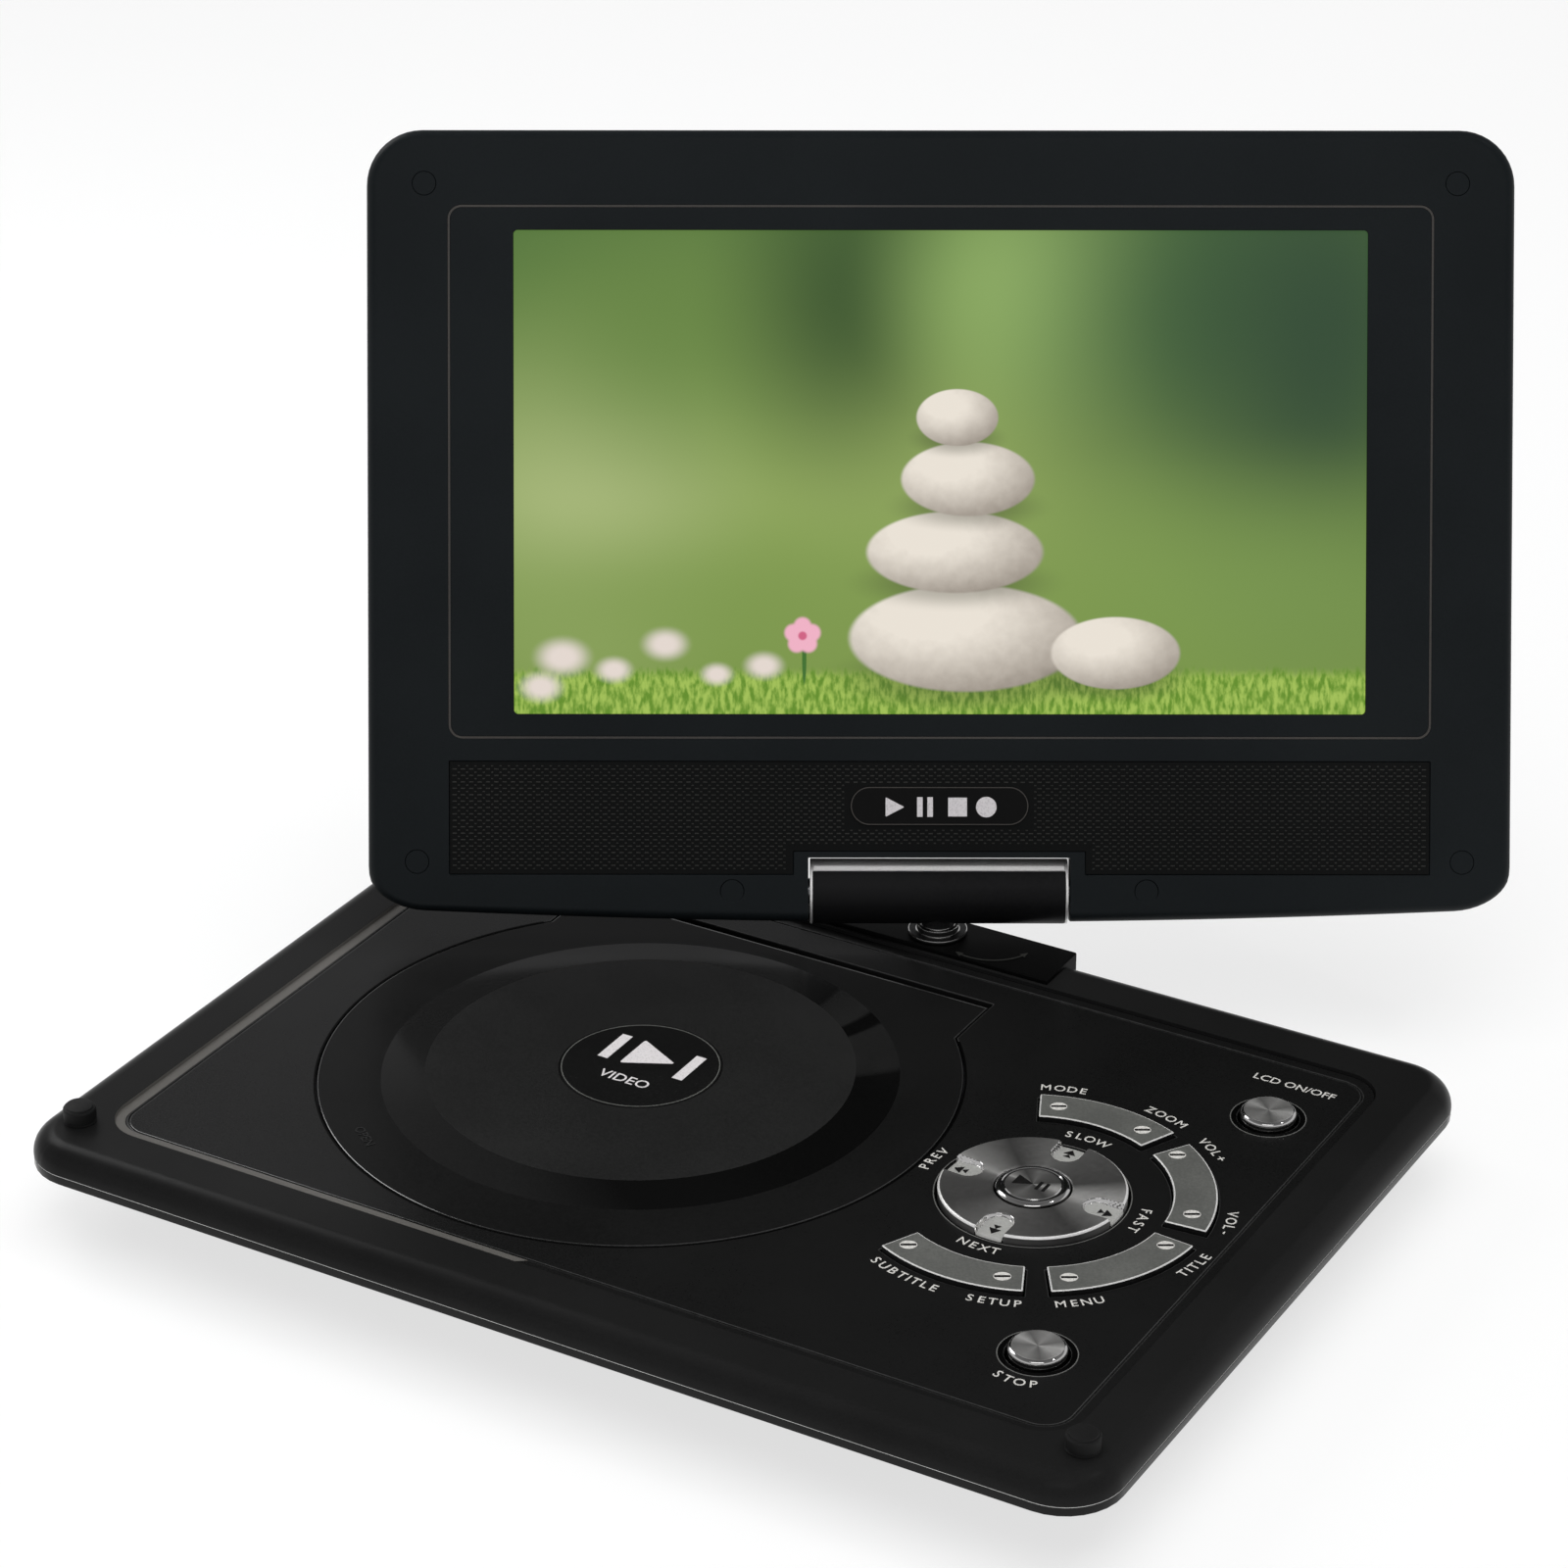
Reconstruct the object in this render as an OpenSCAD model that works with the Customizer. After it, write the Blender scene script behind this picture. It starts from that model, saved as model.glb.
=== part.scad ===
// Portable disc player: a flat base with a disc well and controls, and a screen lid on a swivel
// and tilt hinge. Millimetres, +Z up. The origin is the middle of the base, on the table.
// The lid is drawn half open, leaned back and turned to its left.

/* [Base] */
// Width of the base, side to side
base_w = 267; // [266:0.5:268]
// Depth of the base, front to back
base_d = 188; // [187:0.5:189]
// Corner radius of the base outline
base_r = 13.5; // [12:0.5:14]
// Height of the control deck above the table
deck_z = 24; // [24:0.1:24.2]
// Height of the rim around the deck
rim_z = 24.9; // [24.6:0.1:25.2]
// Radius of the rolled edge of the rim
edge_roll = 5.5; // [5:0.1:5.7]
// Width of the deck panel inside the pale band
panel_w = 233.2; // [232:0.2:234]
// Depth of the deck panel inside the pale band
panel_d = 152.6; // [152:0.2:153]
// Width of the pale band around the panel
band_w = 3.2; // [2.8:0.1:3.4]
// How far the flat underside is set in from the edge
undercut = 32; // [31:0.5:32.5]

/* [Disc drive] */
// Disc centre, from the middle of the base to the right
disc_x = -29.06; // [-29.5:0.02:-28.5]
// Disc centre, from the middle of the base to the back
disc_y = 1.7; // [1:0.1:2]
// Radius of a standard disc
disc_r = 60; // [60]
// Radius of the disc door
door_r = 72.6; // [72.4:0.1:72.8]
// Half width of the door's square hinge end
door_half_w = 54.4; // [54:0.1:54.8]
// Place of the door's straight back edge
door_back = 67.3; // [67:0.1:67.5]
// Radius of the round badge in the door
medallion_r = 18.4; // [17:0.1:19]

/* [Controls] */
// Centre of the control wheel, to the right
wheel_x = 71.3; // [71:0.1:71.5]
// Centre of the control wheel, to the back
wheel_y = -0.2; // [-0.4:0.1:0]
// Radius of the control wheel
wheel_r = 20.6; // [20:0.1:20.8]
// Radius of the play button in its middle
play_r = 8.1; // [7.8:0.1:8.2]
// Inner radius of the four curved keys
key_in = 30.3; // [30:0.1:30.5]
// Outer radius of the four curved keys
key_out = 39.8; // [39.5:0.1:40]
// Radius of the two round buttons
button_r = 6.3; // [6:0.1:6.5]
// Gap around every key
key_gap = 0.35; // [0.3:0.05:0.4]

/* [Lid] */
// Width of the lid
lid_w = 267; // [266:0.5:268]
// Height of the lid above the hinge axis
lid_top = 177.5; // [177:0.5:178]
// Drop of the lid below the hinge axis
lid_drop = 7; // [6.8:0.1:7]
// Thickness of the lid
lid_t = 15; // [14.6:0.2:15]
// Corner radius of the lid
lid_r = 13; // [12:0.5:14]
// Width of the picture
picture_w = 198; // [197:0.5:199]
// Height of the picture
picture_h = 111.9; // [111:0.1:112]
// Middle of the picture above the hinge axis
picture_v = 98; // [97.5:0.5:98]

/* [Hinge] */
// Hinge centre behind the middle of the base
hinge_y = 88.3; // [88:0.1:88.5]
// Height of the tilt axis
hinge_z = 37; // [37:0.1:37.5]
// Angle that the lid leans back from upright
lean = 25; // [24.5:0.1:26]
// Angle that the lid is turned to its left
swing = 30; // [29:0.1:30]
// Radius of the hinge barrel
barrel_r = 7.65; // [7.5:0.05:7.65]
// Length of the hinge barrel
barrel_l = 60.4; // [60:0.1:60.4]
// Radius of the swivel post
post_r = 4; // [3.9:0.1:4]
// Radius of the two tilt shafts
shaft_r = 3; // [2.9:0.1:3]

/* [Hidden] */
$fn = 96;
e = 0.01;
wall = 2;
// heights in the base
foot_h = 1.2;
foot_r = 6;
floor_z = 3.2;
lip_z = 17;
seam_z = 19;
under_deck = deck_z - wall;
panel_r = 6.5;
gap_w = 0.4;
flat_r = 18;
bumper_r = 3.65;
// screws that join the two halves of the base, and the bosses that take them
boss_r = 3.5;
boss_z = 12;
pilot_r = 1.2;
shank_r = 1.15;
shank_l = 17;
head_r = 2.5;
head_h = 1.4;
head_z = 1.6;
// disc drive
tray_z = 17;
tray_under = 15.5;
well_r = disc_r + 2.5;
door_under = under_deck + 0.3;
door_roll = 2.5;
door_pivot_y = door_back - door_roll;
door_pivot_z = deck_z - door_roll;
plateau_h = 1.2;
plateau_r = 48.5;
slope_r = 58.5;
door_gap = 0.5;
pin_r = 1.25;
latch_angle = 200;
latch_at = 69;
latch_w = 3.6;
latch_t = 2.2;
tray_r = 76;
tray_back = door_pivot_y - 3 - disc_y;
flange_t = 1.6;
motor_z = 5.2;
motor_r = 12;
spindle_r = 1;
rail_x = 16;
rail_z = 9;
rail_r = 1.5;
rail_front = -71.5;
rail_back = -10;
post_half = 3;
post_low = 7;
lead_x = 23;
lead_r = 1.2;
sled_at = 23.5;
lens_z = 17.3;
hub_z = 18;
hub_r = 7.2;
// fits
run = 0.05;
snug = 0.02;
// controls
key_top = deck_z + 1.2;
wheel_top = deck_z + 2;
button_top = deck_z + 2.1;
key_under = 21;
cap_under = 20.5;
cap_edge = 0.8;
pcb_t = 1.6;
board_z = 15.5;
board_top = board_z + pcb_t;
switch_top = 19.6;
carrier_r = 12;
scoop_r = 4.4;
scoop_at = 16.6;
main_z = 4.6;
main_top = main_z + pcb_t;
stop_at = [100.3, -53.8];
screen_at = [101.9, 53.9];
KEYS = [[66, 115], [5, 58], [-57, -4], [-116, -65.5]];
screw_spots = [[-97, 52], [-97, -52], [60, 54], [60, -54]];
foot_spots = [[-88, 50], [-88, -50], [88, 50], [88, -50]];
bumper_spots = [[-124, -80], [124, -80]];
// chips on the main board: left, front, width, depth, height
CHIPS = [[-92, -20, 18, 18, 1.6], [-90, 12, 14, 10, 1.4], [-68, -14, 10, 20, 1.3]];
// each cell of the battery: left, right, depth, and the front of each one
cell_left = 50;
cell_right = 103;
cell_d = 43;
cell_fronts = [-44, 1];
cell_z = 5.6;
// connector housing on the left side
port_x = -127;
port_back = 40;
port_front = -56;
port_z = 9.5;
dc_y = 32;
knob_y = 21;
av_y = 10;
phones_y = -1;
usb_y = -15;
card_y = -37;
dc_hole_r = 3.6;
plug_hole_r = 3.1;
sleeve = 0.15;
// lid
half_t = lid_t / 2;
lid_h = lid_top + lid_drop;
lid_v = (lid_top - lid_drop) / 2;
skin = 1.8;
lid_in = 2.2;
front_roll = 2.5;
back_roll = 5;
notch_half = barrel_l / 2 + 0.4;
notch_top = barrel_r + 0.55;
grille_half = 114.5;
grille_low = 4.2;
grille_high = 30.8;
grille_notch = 34;
cover_spots = [[-120, 165], [120, 165], [-122, 7.2], [122, 7.2], [-48.4, 0.3], [48.4, 0.3]];
cover_r = 2.7;
lid_head_z = 6.2;
line_r = 3;
line_w = 228.6;
line_h = 123.5;
badge_v = 20.35;
badge_half = 16.3;
badge_r = 4.3;
speaker_x = 75;
speaker_v = 17.5;
panel_half = [106, 63.5];
light_half = [105, 62];
// barrel: the sleeve around it leaves its top strip bare
cover_from = 204;
cover_sweep = 291;
cover_t = 0.6;
// the bare strip's flat front: its lower edge (back, up) and its slope
strip_low = [-2.09, 6.63];
strip_slope = 51.5;
shaft_at = 32.2;
shaft_l = 20;
// platform
platform_half = 33;
platform_front = 80.5;
platform_back = 96;
platform_z = 26;

// ---- shared shapes ----

// A rectangle with round corners, centred.
module plate_2d(w, d, r) {
  square([w - 2 * r, d], center = true);
  square([w, d - 2 * r], center = true);
  for (x = [-1, 1], y = [-1, 1])
    translate([x * (w / 2 - r), y * (d / 2 - r)]) circle(r = r);
}

// Half section of a slab whose top outer edge is rolled over.
module rolled_2d(reach, low, high, roll) {
  intersection() {
    translate([0, low]) square([reach, high - low]);
    union() {
      translate([0, low]) square([reach, high - roll - low]);
      translate([0, low]) square([reach - roll, high - low]);
      translate([reach - roll, high - roll]) circle(r = roll);
    }
  }
}

module rolled_both(reach, low, high, roll) {
  for (side = [0, 1])
    mirror([side, 0]) rolled_2d(reach, low, high, roll);
}

// A slab with round corners and a rolled top edge.
module rolled_slab(w, d, r, low, high, roll) {
  for (x = [-1, 1], y = [-1, 1])
    translate([x * (w / 2 - r), y * (d / 2 - r), 0])
      rotate_extrude() rolled_2d(r, low, high, roll);
  rotate([90, 0, 0]) linear_extrude(d - 2 * r, center = true)
    rolled_both(w / 2, low, high, roll);
  rotate([90, 0, 90]) linear_extrude(w - 2 * r, center = true)
    rolled_both(d / 2, low, high, roll);
}

// A sector of a ring between two angles.
module ring_sector_2d(inner, outer, from, to) {
  intersection() {
    difference() {
      circle(r = outer, $fn = 180);
      circle(r = inner, $fn = 180);
    }
    polygon(concat([[0, 0]], [for (i = [0 : 8]) let (a = from + (to - from) * i / 8)
      2 * outer * [cos(a), sin(a)]]));
  }
}

// A cylinder along X, from one place to another.
module rod_x(r, from, to) {
  translate([from, 0, 0]) rotate([0, 90, 0]) cylinder(r = r, h = to - from);
}

// A cylinder along Y, from one place to another.
module rod_y(r, from, to) {
  translate([0, from, 0]) rotate([-90, 0, 0]) cylinder(r = r, h = to - from);
}

// A box given by two corners.
module box(low, high) {
  translate(low) cube(high - low);
}

// A plate between two heights.
module layer(low, high) {
  translate([0, 0, low]) linear_extrude(high - low) children();
}

module at_disc() {
  translate([disc_x, disc_y, 0]) children();
}

module at_wheel() {
  translate([wheel_x, wheel_y, 0]) children();
}

// Places at the hinge centre, turned with the swivel.
module on_swivel() {
  translate([0, hinge_y, hinge_z]) rotate([0, 0, swing]) children();
}

// Lid coordinates: X across, Y up the lid from the hinge axis, Z out of its front.
module on_lid() {
  on_swivel() rotate([90 - lean, 0, 0]) children();
}

// ---- base shell ----

module door_outline(grow) {
  intersection() {
    union() {
      circle(r = door_r + grow, $fn = 180);
      translate([-door_half_w - grow, 0])
        square([2 * (door_half_w + grow), door_back - disc_y + grow]);
    }
    translate([-door_r - 5, -door_r - 5])
      square([2 * door_r + 10, door_r + 5 + door_back - disc_y + grow]);
  }
}

module platform_box(grow, low) {
  box([-platform_half - grow, platform_front - grow, low],
    [platform_half + grow, platform_back + 5, platform_z + 1]);
}

module trunnion_bosses() {
  for (side = [-1, 1])
    translate([disc_x + side * (door_half_w + door_gap + 2), door_pivot_y, door_pivot_z])
      box([-2, -3, -3], [2, 3, under_deck - door_pivot_z + e]);
}

module top_cover() {
  color([0.05, 0.05, 0.05]) difference() {
    union() {
      difference() {
        rolled_slab(base_w, base_d, base_r, seam_z, rim_z, edge_roll);
        layer(seam_z - 1, under_deck)
          plate_2d(base_w - 2 * wall - 1, base_d - 2 * wall - 1, base_r - wall);
      }
      trunnion_bosses();
      for (p = screw_spots)
        translate([p[0], p[1], boss_z]) cylinder(r = boss_r, h = under_deck - boss_z + e);
    }
    layer(deck_z, rim_z + 1) plate_2d(panel_w + 2 * band_w, panel_d + 2 * band_w, panel_r + band_w);
    // thin gap between the band and the panel
    layer(deck_z - 0.5, rim_z) difference() {
      plate_2d(panel_w + 2 * gap_w, panel_d + 2 * gap_w, panel_r + gap_w);
      plate_2d(panel_w, panel_d, panel_r);
    }
    at_disc() layer(seam_z - 5, rim_z + 1) door_outline(door_gap);
    translate([disc_x, door_pivot_y, door_pivot_z])
      rod_x(pin_r + run, -door_half_w - door_gap - 3.2, door_half_w + door_gap + 3.2);
    platform_box(0, seam_z - 5);
    // wells for the keys
    at_wheel() translate([0, 0, seam_z]) cylinder(r = wheel_r + key_gap, h = 8, $fn = 180);
    at_wheel() layer(seam_z, rim_z + 1) for (k = KEYS)
      ring_sector_2d(key_in - key_gap, key_out + key_gap, k[0] - 0.6, k[1] + 0.6);
    for (p = [stop_at, screen_at])
      translate([p[0], p[1], seam_z]) cylinder(r = button_r + 0.6, h = 8);
    for (p = screw_spots) translate([p[0], p[1], boss_z - 1]) cylinder(r = pilot_r, h = 9);
  }
}

// The dish shape of the lower shell, from its flat bottom out to the lip.
module dish(inset, low, high) {
  hull() {
    layer(lip_z, high)
      plate_2d(base_w - 2 * inset, base_d - 2 * inset, base_r - inset, $fn = 32);
    layer(low, low + 0.5)
      plate_2d(base_w - 2 * undercut, base_d - 2 * undercut, flat_r, $fn = 32);
  }
}

module bottom_cover() {
  color([0.07, 0.07, 0.07]) difference() {
    union() {
      difference() {
        dish(0, foot_h + 0.1, seam_z);
        dish(wall + 0.5, floor_z, seam_z + 1);
      }
      layer(foot_h, floor_z + 0.3)
        plate_2d(base_w - 2 * undercut, base_d - 2 * undercut, flat_r);
      box([port_x, port_front, floor_z], [port_x + 24, port_back, lip_z]);
      for (p = screw_spots) translate([p[0], p[1], floor_z]) cylinder(r = boss_r, h = boss_z - floor_z);
    }
    box([port_x + wall, port_front + wall, floor_z + 1], [port_x + 27, port_back - wall, lip_z + 3]);
    platform_box(0.1, lip_z + 0.5);
    for (p = foot_spots) translate([p[0], p[1], 0]) cylinder(r = foot_r + 0.2, h = foot_h * 2);
    for (p = screw_spots) translate([p[0], p[1], 0]) {
      cylinder(r = shank_r + 0.2, h = 20);
      cylinder(r = head_r + 0.3, h = head_z + head_h);
    }
    // connector openings
    translate([port_x, dc_y, port_z]) rod_x(dc_hole_r, -1, wall + 1);
    translate([port_x, av_y, port_z]) rod_x(plug_hole_r, -1, wall + 1);
    translate([port_x, phones_y, port_z]) rod_x(plug_hole_r, -1, wall + 1);
    box([port_x - 1, knob_y - 3.8, port_z - 1.5], [port_x + wall + 1, knob_y + 3.8, port_z + 1.5]);
    box([port_x - 1, usb_y - 6.8, port_z - 3.1], [port_x + wall + 1, usb_y + 6.8, port_z + 3.1]);
    box([port_x - 1, card_y - 12.4, port_z - 1.4], [port_x + wall + 1, card_y + 12.4, port_z + 1.4]);
  }
}

module hinge_platform() {
  color([0.06, 0.06, 0.06]) difference() {
    box([-platform_half, platform_front, lip_z + 0.5], [platform_half, platform_back, platform_z]);
    translate([0, hinge_y, lip_z]) cylinder(r = post_r + run, h = 20);
    translate([0, hinge_y, lip_z]) cylinder(r = 5.8, h = 3.8);
    // hollow in the front underside, over the deck's edge
    box([-platform_half + 2, platform_front - 1, lip_z],
      [platform_half - 2, platform_front + 1, under_deck]);
  }
}

module rubber_bumpers() {
  color([0.03, 0.03, 0.03]) for (p = bumper_spots) translate([p[0], p[1], rim_z]) {
    cylinder(r = bumper_r, h = 3.6);
    cylinder(r = bumper_r - 0.55, h = 4.1);
  }
}

module rubber_feet() {
  color([0.04, 0.04, 0.04]) for (p = foot_spots)
    translate([p[0], p[1], 0]) cylinder(r = foot_r, h = foot_h * 2);
}

module base_screws() {
  color("silver") for (p = screw_spots) translate([p[0], p[1], head_z]) difference() {
    union() {
      cylinder(r = head_r, h = head_h);
      cylinder(r = shank_r, h = shank_l);
    }
    for (a = [0, 90]) rotate([0, 0, a]) box([-1.4, -0.3, -1], [1.4, 0.3, 0.7]);
  }
}

// ---- disc drive ----

// The rim of the tray, cut off in front of the door's pivot.
module tray_flange_2d() {
  intersection() {
    union() {
      circle(r = tray_r);
      translate([-door_half_w - 3, 0]) square([2 * door_half_w + 6, tray_back]);
    }
    translate([-90, -90]) square([180, 90 + tray_back]);
  }
}

module disc_tray() {
  color([0.12, 0.12, 0.13]) at_disc() difference() {
    union() {
      translate([0, 0, tray_under]) cylinder(r = well_r + 2, h = under_deck - tray_under, $fn = 180);
      layer(under_deck - flange_t, under_deck) tray_flange_2d();
      // posts that hold the rails and the lead screw
      for (x = [-rail_x, rail_x])
        box([x - post_half, rail_back - 2.5, post_low], [x + post_half, rail_back, tray_under + e]);
      for (x = [-rail_x, rail_x, lead_x])
        box([x - post_half, rail_front, post_low],
          [x + post_half, rail_front + 2.5, under_deck - 1]);
    }
    translate([0, 0, tray_z]) cylinder(r = well_r, h = 10, $fn = 180);
    // room for the rolled back edge of the door
    box([-90, tray_back, door_pivot_z - door_roll - 0.4], [90, 90, 30]);
    for (x = [-rail_x, rail_x]) translate([x, 0, rail_z]) rod_y(rail_r + snug, -80, -5);
    translate([lead_x, 0, rail_z]) rod_y(lead_r + run, -80, -5);
    cylinder(r = 8, h = 30);
    box([-8, -63, tray_under - 1], [8, -18.6, tray_z + 1]);
    // finger scoops at both sides of the disc
    for (x = [-1, 1]) translate([x * 58, -6, tray_z + 0.8]) cylinder(r = 12, h = 10);
    rotate([0, 0, latch_angle])
      box([latch_at - latch_t, -latch_w, 15], [latch_at + latch_t, latch_w, 25]);
  }
}

module spindle_motor() {
  color("silver") at_disc() difference() {
    translate([0, 0, motor_z]) cylinder(r = motor_r, h = tray_under - motor_z);
    translate([0, 0, 8]) cylinder(r = spindle_r + run, h = 10);
  }
}

module sled_rails() {
  color("silver") at_disc() for (x = [-rail_x, rail_x])
    translate([x, 0, rail_z]) rod_y(rail_r, rail_front, rail_back);
}

module sled_motor() {
  color("gray") at_disc() translate([lead_x, 0, rail_z]) difference() {
    rod_y(5, -8, 10);
    rod_y(lead_r + run, -9, -3);
  }
}

module lead_screw() {
  color("gold") at_disc() translate([lead_x, 0, rail_z]) {
    difference() {
      union() {
        rod_y(lead_r, -71, -3.5);
        rod_y(lead_r + 0.6, -9.4, -8.4);
      }
      for (y = [-66 : 3 : -14]) rod_y(lead_r + 0.4, y, y + 1);
    }
    rod_y(lead_r - 0.2, -70, -10);
  }
}

module optical_pickup() {
  color([0.2, 0.2, 0.22]) at_disc() translate([0, -sled_at, 0]) difference() {
    union() {
      box([-20, -10.5, 6.2], [20, 10.5, 12]);
      box([-12, -10, 12 - e], [12, 10, tray_under - 0.4]);
      box([-7, -4.2, 12], [7, 4.2, lens_z]);
      box([19, -4, 6.5], [26, 4, 11.5]);
    }
    for (x = [-rail_x, rail_x]) translate([x, 0, rail_z]) rod_y(rail_r + run, -12, 12);
    translate([lead_x, 0, rail_z]) rod_y(lead_r + run, -12, 12);
  }
}

module pickup_lens() {
  color([0.5, 0.6, 0.9]) at_disc() translate([0, -sled_at, lens_z]) cylinder(r = 2.2, h = 0.6);
}

module door_latch() {
  color([0.8, 0.8, 0.78]) at_disc() rotate([0, 0, latch_angle]) difference() {
    box([latch_at - 4, -6, 12], [latch_at + 4, 6, under_deck - flange_t]);
    box([latch_at - latch_t, -latch_w, 14], [latch_at + latch_t, latch_w, 25]);
  }
}

module disc_door() {
  color([0.06, 0.06, 0.06]) {
    at_disc() difference() {
      union() {
        layer(door_under, deck_z) intersection() {
          door_outline(0);
          translate([-90, -90]) square([180, 90 + door_pivot_y - disc_y]);
        }
        translate([0, 0, deck_z - e]) cylinder(r1 = slope_r, r2 = plateau_r, h = plateau_h + e, $fn = 180);
      }
      translate([0, 0, door_under - 1]) cylinder(r = plateau_r - 1, h = 2);
      translate([0, 0, deck_z + plateau_h - 0.5])
        cylinder(r = medallion_r + 0.1, h = 2);
    }
    translate([disc_x, door_pivot_y, door_pivot_z]) {
      rod_x(door_roll, -door_half_w, door_half_w);
      rod_x(pin_r, -door_half_w - 2.8, door_half_w + 2.8);
    }
    at_disc() rotate([0, 0, latch_angle])
      box([latch_at - 0.8, -2.4, 17.5], [latch_at + 0.8, 2.4, door_under + e]);
  }
}

module door_medallion() {
  color([0.03, 0.03, 0.03]) at_disc() translate([0, 0, deck_z + plateau_h - 0.5])
    cylinder(r = medallion_r, h = 0.6, $fn = 180);
}

module turntable() {
  color("whitesmoke") at_disc() {
    translate([0, 0, 8.5]) cylinder(r = spindle_r, h = 9.5);
    translate([0, 0, hub_z - 0.4]) cylinder(r = 15, h = 0.8);
    translate([0, 0, hub_z]) cylinder(r = hub_r, h = 2.4);
    translate([0, 0, hub_z + 2.4]) cylinder(r1 = hub_r, r2 = hub_r - 1.8, h = 1.2);
    for (a = [0 : 120 : 240]) rotate([0, 0, a])
      translate([hub_r - 0.5, 0, hub_z + 1.9]) sphere(r = 0.8, $fn = 32);
  }
}

module turntable_mat() {
  color([0.1, 0.1, 0.1]) at_disc() translate([0, 0, hub_z + 0.4]) difference() {
    cylinder(r = 14.5, h = 0.4);
    translate([0, 0, -1]) cylinder(r = 10, h = 3);
  }
}

// ---- electronics ----

module main_board() {
  color([0.05, 0.3, 0.15]) {
    box([-103, -44, main_z], [-52, 44, main_top]);
    box([-124, port_front + 3, main_z], [-102, port_back - 3, main_top]);
  }
  color([0.1, 0.1, 0.1]) {
    for (c = CHIPS) translate([c[0], c[1], main_top - e]) cube([c[2], c[3], c[4] + e]);
    for (y = [26 : 5 : 41]) translate([-96, y, main_top - e]) cylinder(r = 2, h = 5);
  }
}

module key_board() {
  color([0.05, 0.35, 0.2]) difference() {
    box([49, -64, board_z], [118, 64, board_top]);
    for (p = screw_spots) translate([p[0], p[1], 10]) cylinder(r = boss_r + 0.7, h = 12);
  }
}

module tact_switch(p) {
  translate([p[0], p[1], board_top]) {
    translate([-2.6, -2.6, 0]) cube([5.2, 5.2, 1.7]);
    cylinder(r = 1.4, h = switch_top - board_top);
  }
}

module tact_switches() {
  color("silver") {
    for (p = [stop_at, screen_at]) tact_switch(p);
    at_wheel() {
      tact_switch([0, 0]);
      for (a = [0 : 90 : 270]) tact_switch(16.2 * [cos(a), sin(a)]);
      for (k = KEYS, end = [0.2, 0.8]) let (a = k[0] + (k[1] - k[0]) * end)
        tact_switch(35 * [cos(a), sin(a)]);
    }
  }
}

module battery_pack() {
  color([0.2, 0.3, 0.6]) for (y = cell_fronts)
    box([cell_left, y, cell_z], [cell_right, y + cell_d, board_z]);
}

// ---- connectors ----

// A round socket for a 3.5 mm plug, mouth at the housing wall.
module plug_socket(y) {
  translate([port_x, y, port_z]) difference() {
    union() {
      rod_x(plug_hole_r - sleeve, 0.4, wall + 0.2);
      translate([wall, -3.2, -3.3]) cube([13, 6.4, 6.4]);
    }
    rod_x(1.8, -1, 13);
  }
}

module headphone_jack() {
  color([0.1, 0.1, 0.1]) plug_socket(phones_y);
}

module av_jack() {
  color([0.75, 0.65, 0.1]) plug_socket(av_y);
}

module dc_jack() {
  color([0.1, 0.1, 0.1]) translate([port_x, dc_y, port_z]) {
    difference() {
      union() {
        rod_x(dc_hole_r - sleeve, 0.4, wall + 0.2);
        translate([wall, -4.2, -3.3]) cube([12, 8.4, 8]);
      }
      rod_x(2.85, -1, 10);
    }
    rod_x(0.8, 2, 11);
  }
}

module usb_socket() {
  color("silver") translate([port_x + 0.3, usb_y, port_z]) {
    difference() {
      translate([0, -6.6, -2.9]) cube([14, 13.2, 5.8]);
      translate([-1, -6.25, -2.55]) cube([14, 12.5, 5.1]);
    }
    translate([2, -5.5, 0.3]) cube([11.5, 11, 1.8]);
  }
}

module card_slot() {
  color("silver") translate([port_x + wall, card_y, port_z]) difference() {
    translate([0.1, -14, -1.8]) cube([20, 28, 3.6]);
    translate([-1, -12.1, -1.15]) cube([19.5, 24.2, 2.3]);
  }
}

module power_switch_body() {
  color([0.1, 0.1, 0.1]) translate([port_x + 5.5, knob_y - 5, port_z - 3.3]) cube([5, 10, 6.6]);
}

module power_switch_knob() {
  color([0.15, 0.15, 0.15]) box([port_x - 1.2, knob_y - 3.5, port_z - 1.2],
    [port_x + 5.2, knob_y + 0.5, port_z + 1.2]);
}

// ---- keys ----

module nav_wheel() {
  color("silver") at_wheel() difference() {
    union() {
      translate([0, 0, key_under]) cylinder(r = wheel_r, h = wheel_top - 0.6 - key_under, $fn = 180);
      translate([0, 0, wheel_top - 0.6 - e])
        cylinder(r1 = wheel_r, r2 = wheel_r - cap_edge, h = 0.6 + e, $fn = 180);
    }
    translate([0, 0, 10]) cylinder(r = play_r + 0.5, h = 30);
    // finger scoops at the four ends
    for (a = [0 : 90 : 270]) rotate([0, 0, a])
      translate([scoop_at, 0, wheel_top + scoop_r - 1.2]) sphere(r = scoop_r);
  }
}

module wheel_carrier() {
  color([0.3, 0.3, 0.3]) at_wheel() translate([0, 0, switch_top]) difference() {
    cylinder(r = carrier_r, h = 0.6);
    translate([0, 0, -1]) cylinder(r = carrier_r - 3, h = 3);
  }
}

module play_button() {
  color("silver") at_wheel() {
    translate([0, 0, cap_under]) cylinder(r = play_r, h = wheel_top - cap_under);
    translate([0, 0, wheel_top - e]) cylinder(r1 = play_r, r2 = play_r - cap_edge, h = 0.5);
  }
}

module rocker_key(k) {
  color("silver") at_wheel()
    layer(key_under, key_top) ring_sector_2d(key_in, key_out, k[0], k[1]);
}

module mode_key() {
  rocker_key(KEYS[0]);
}

module volume_key() {
  rocker_key(KEYS[1]);
}

module menu_key() {
  rocker_key(KEYS[2]);
}

module setup_key() {
  rocker_key(KEYS[3]);
}

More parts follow.
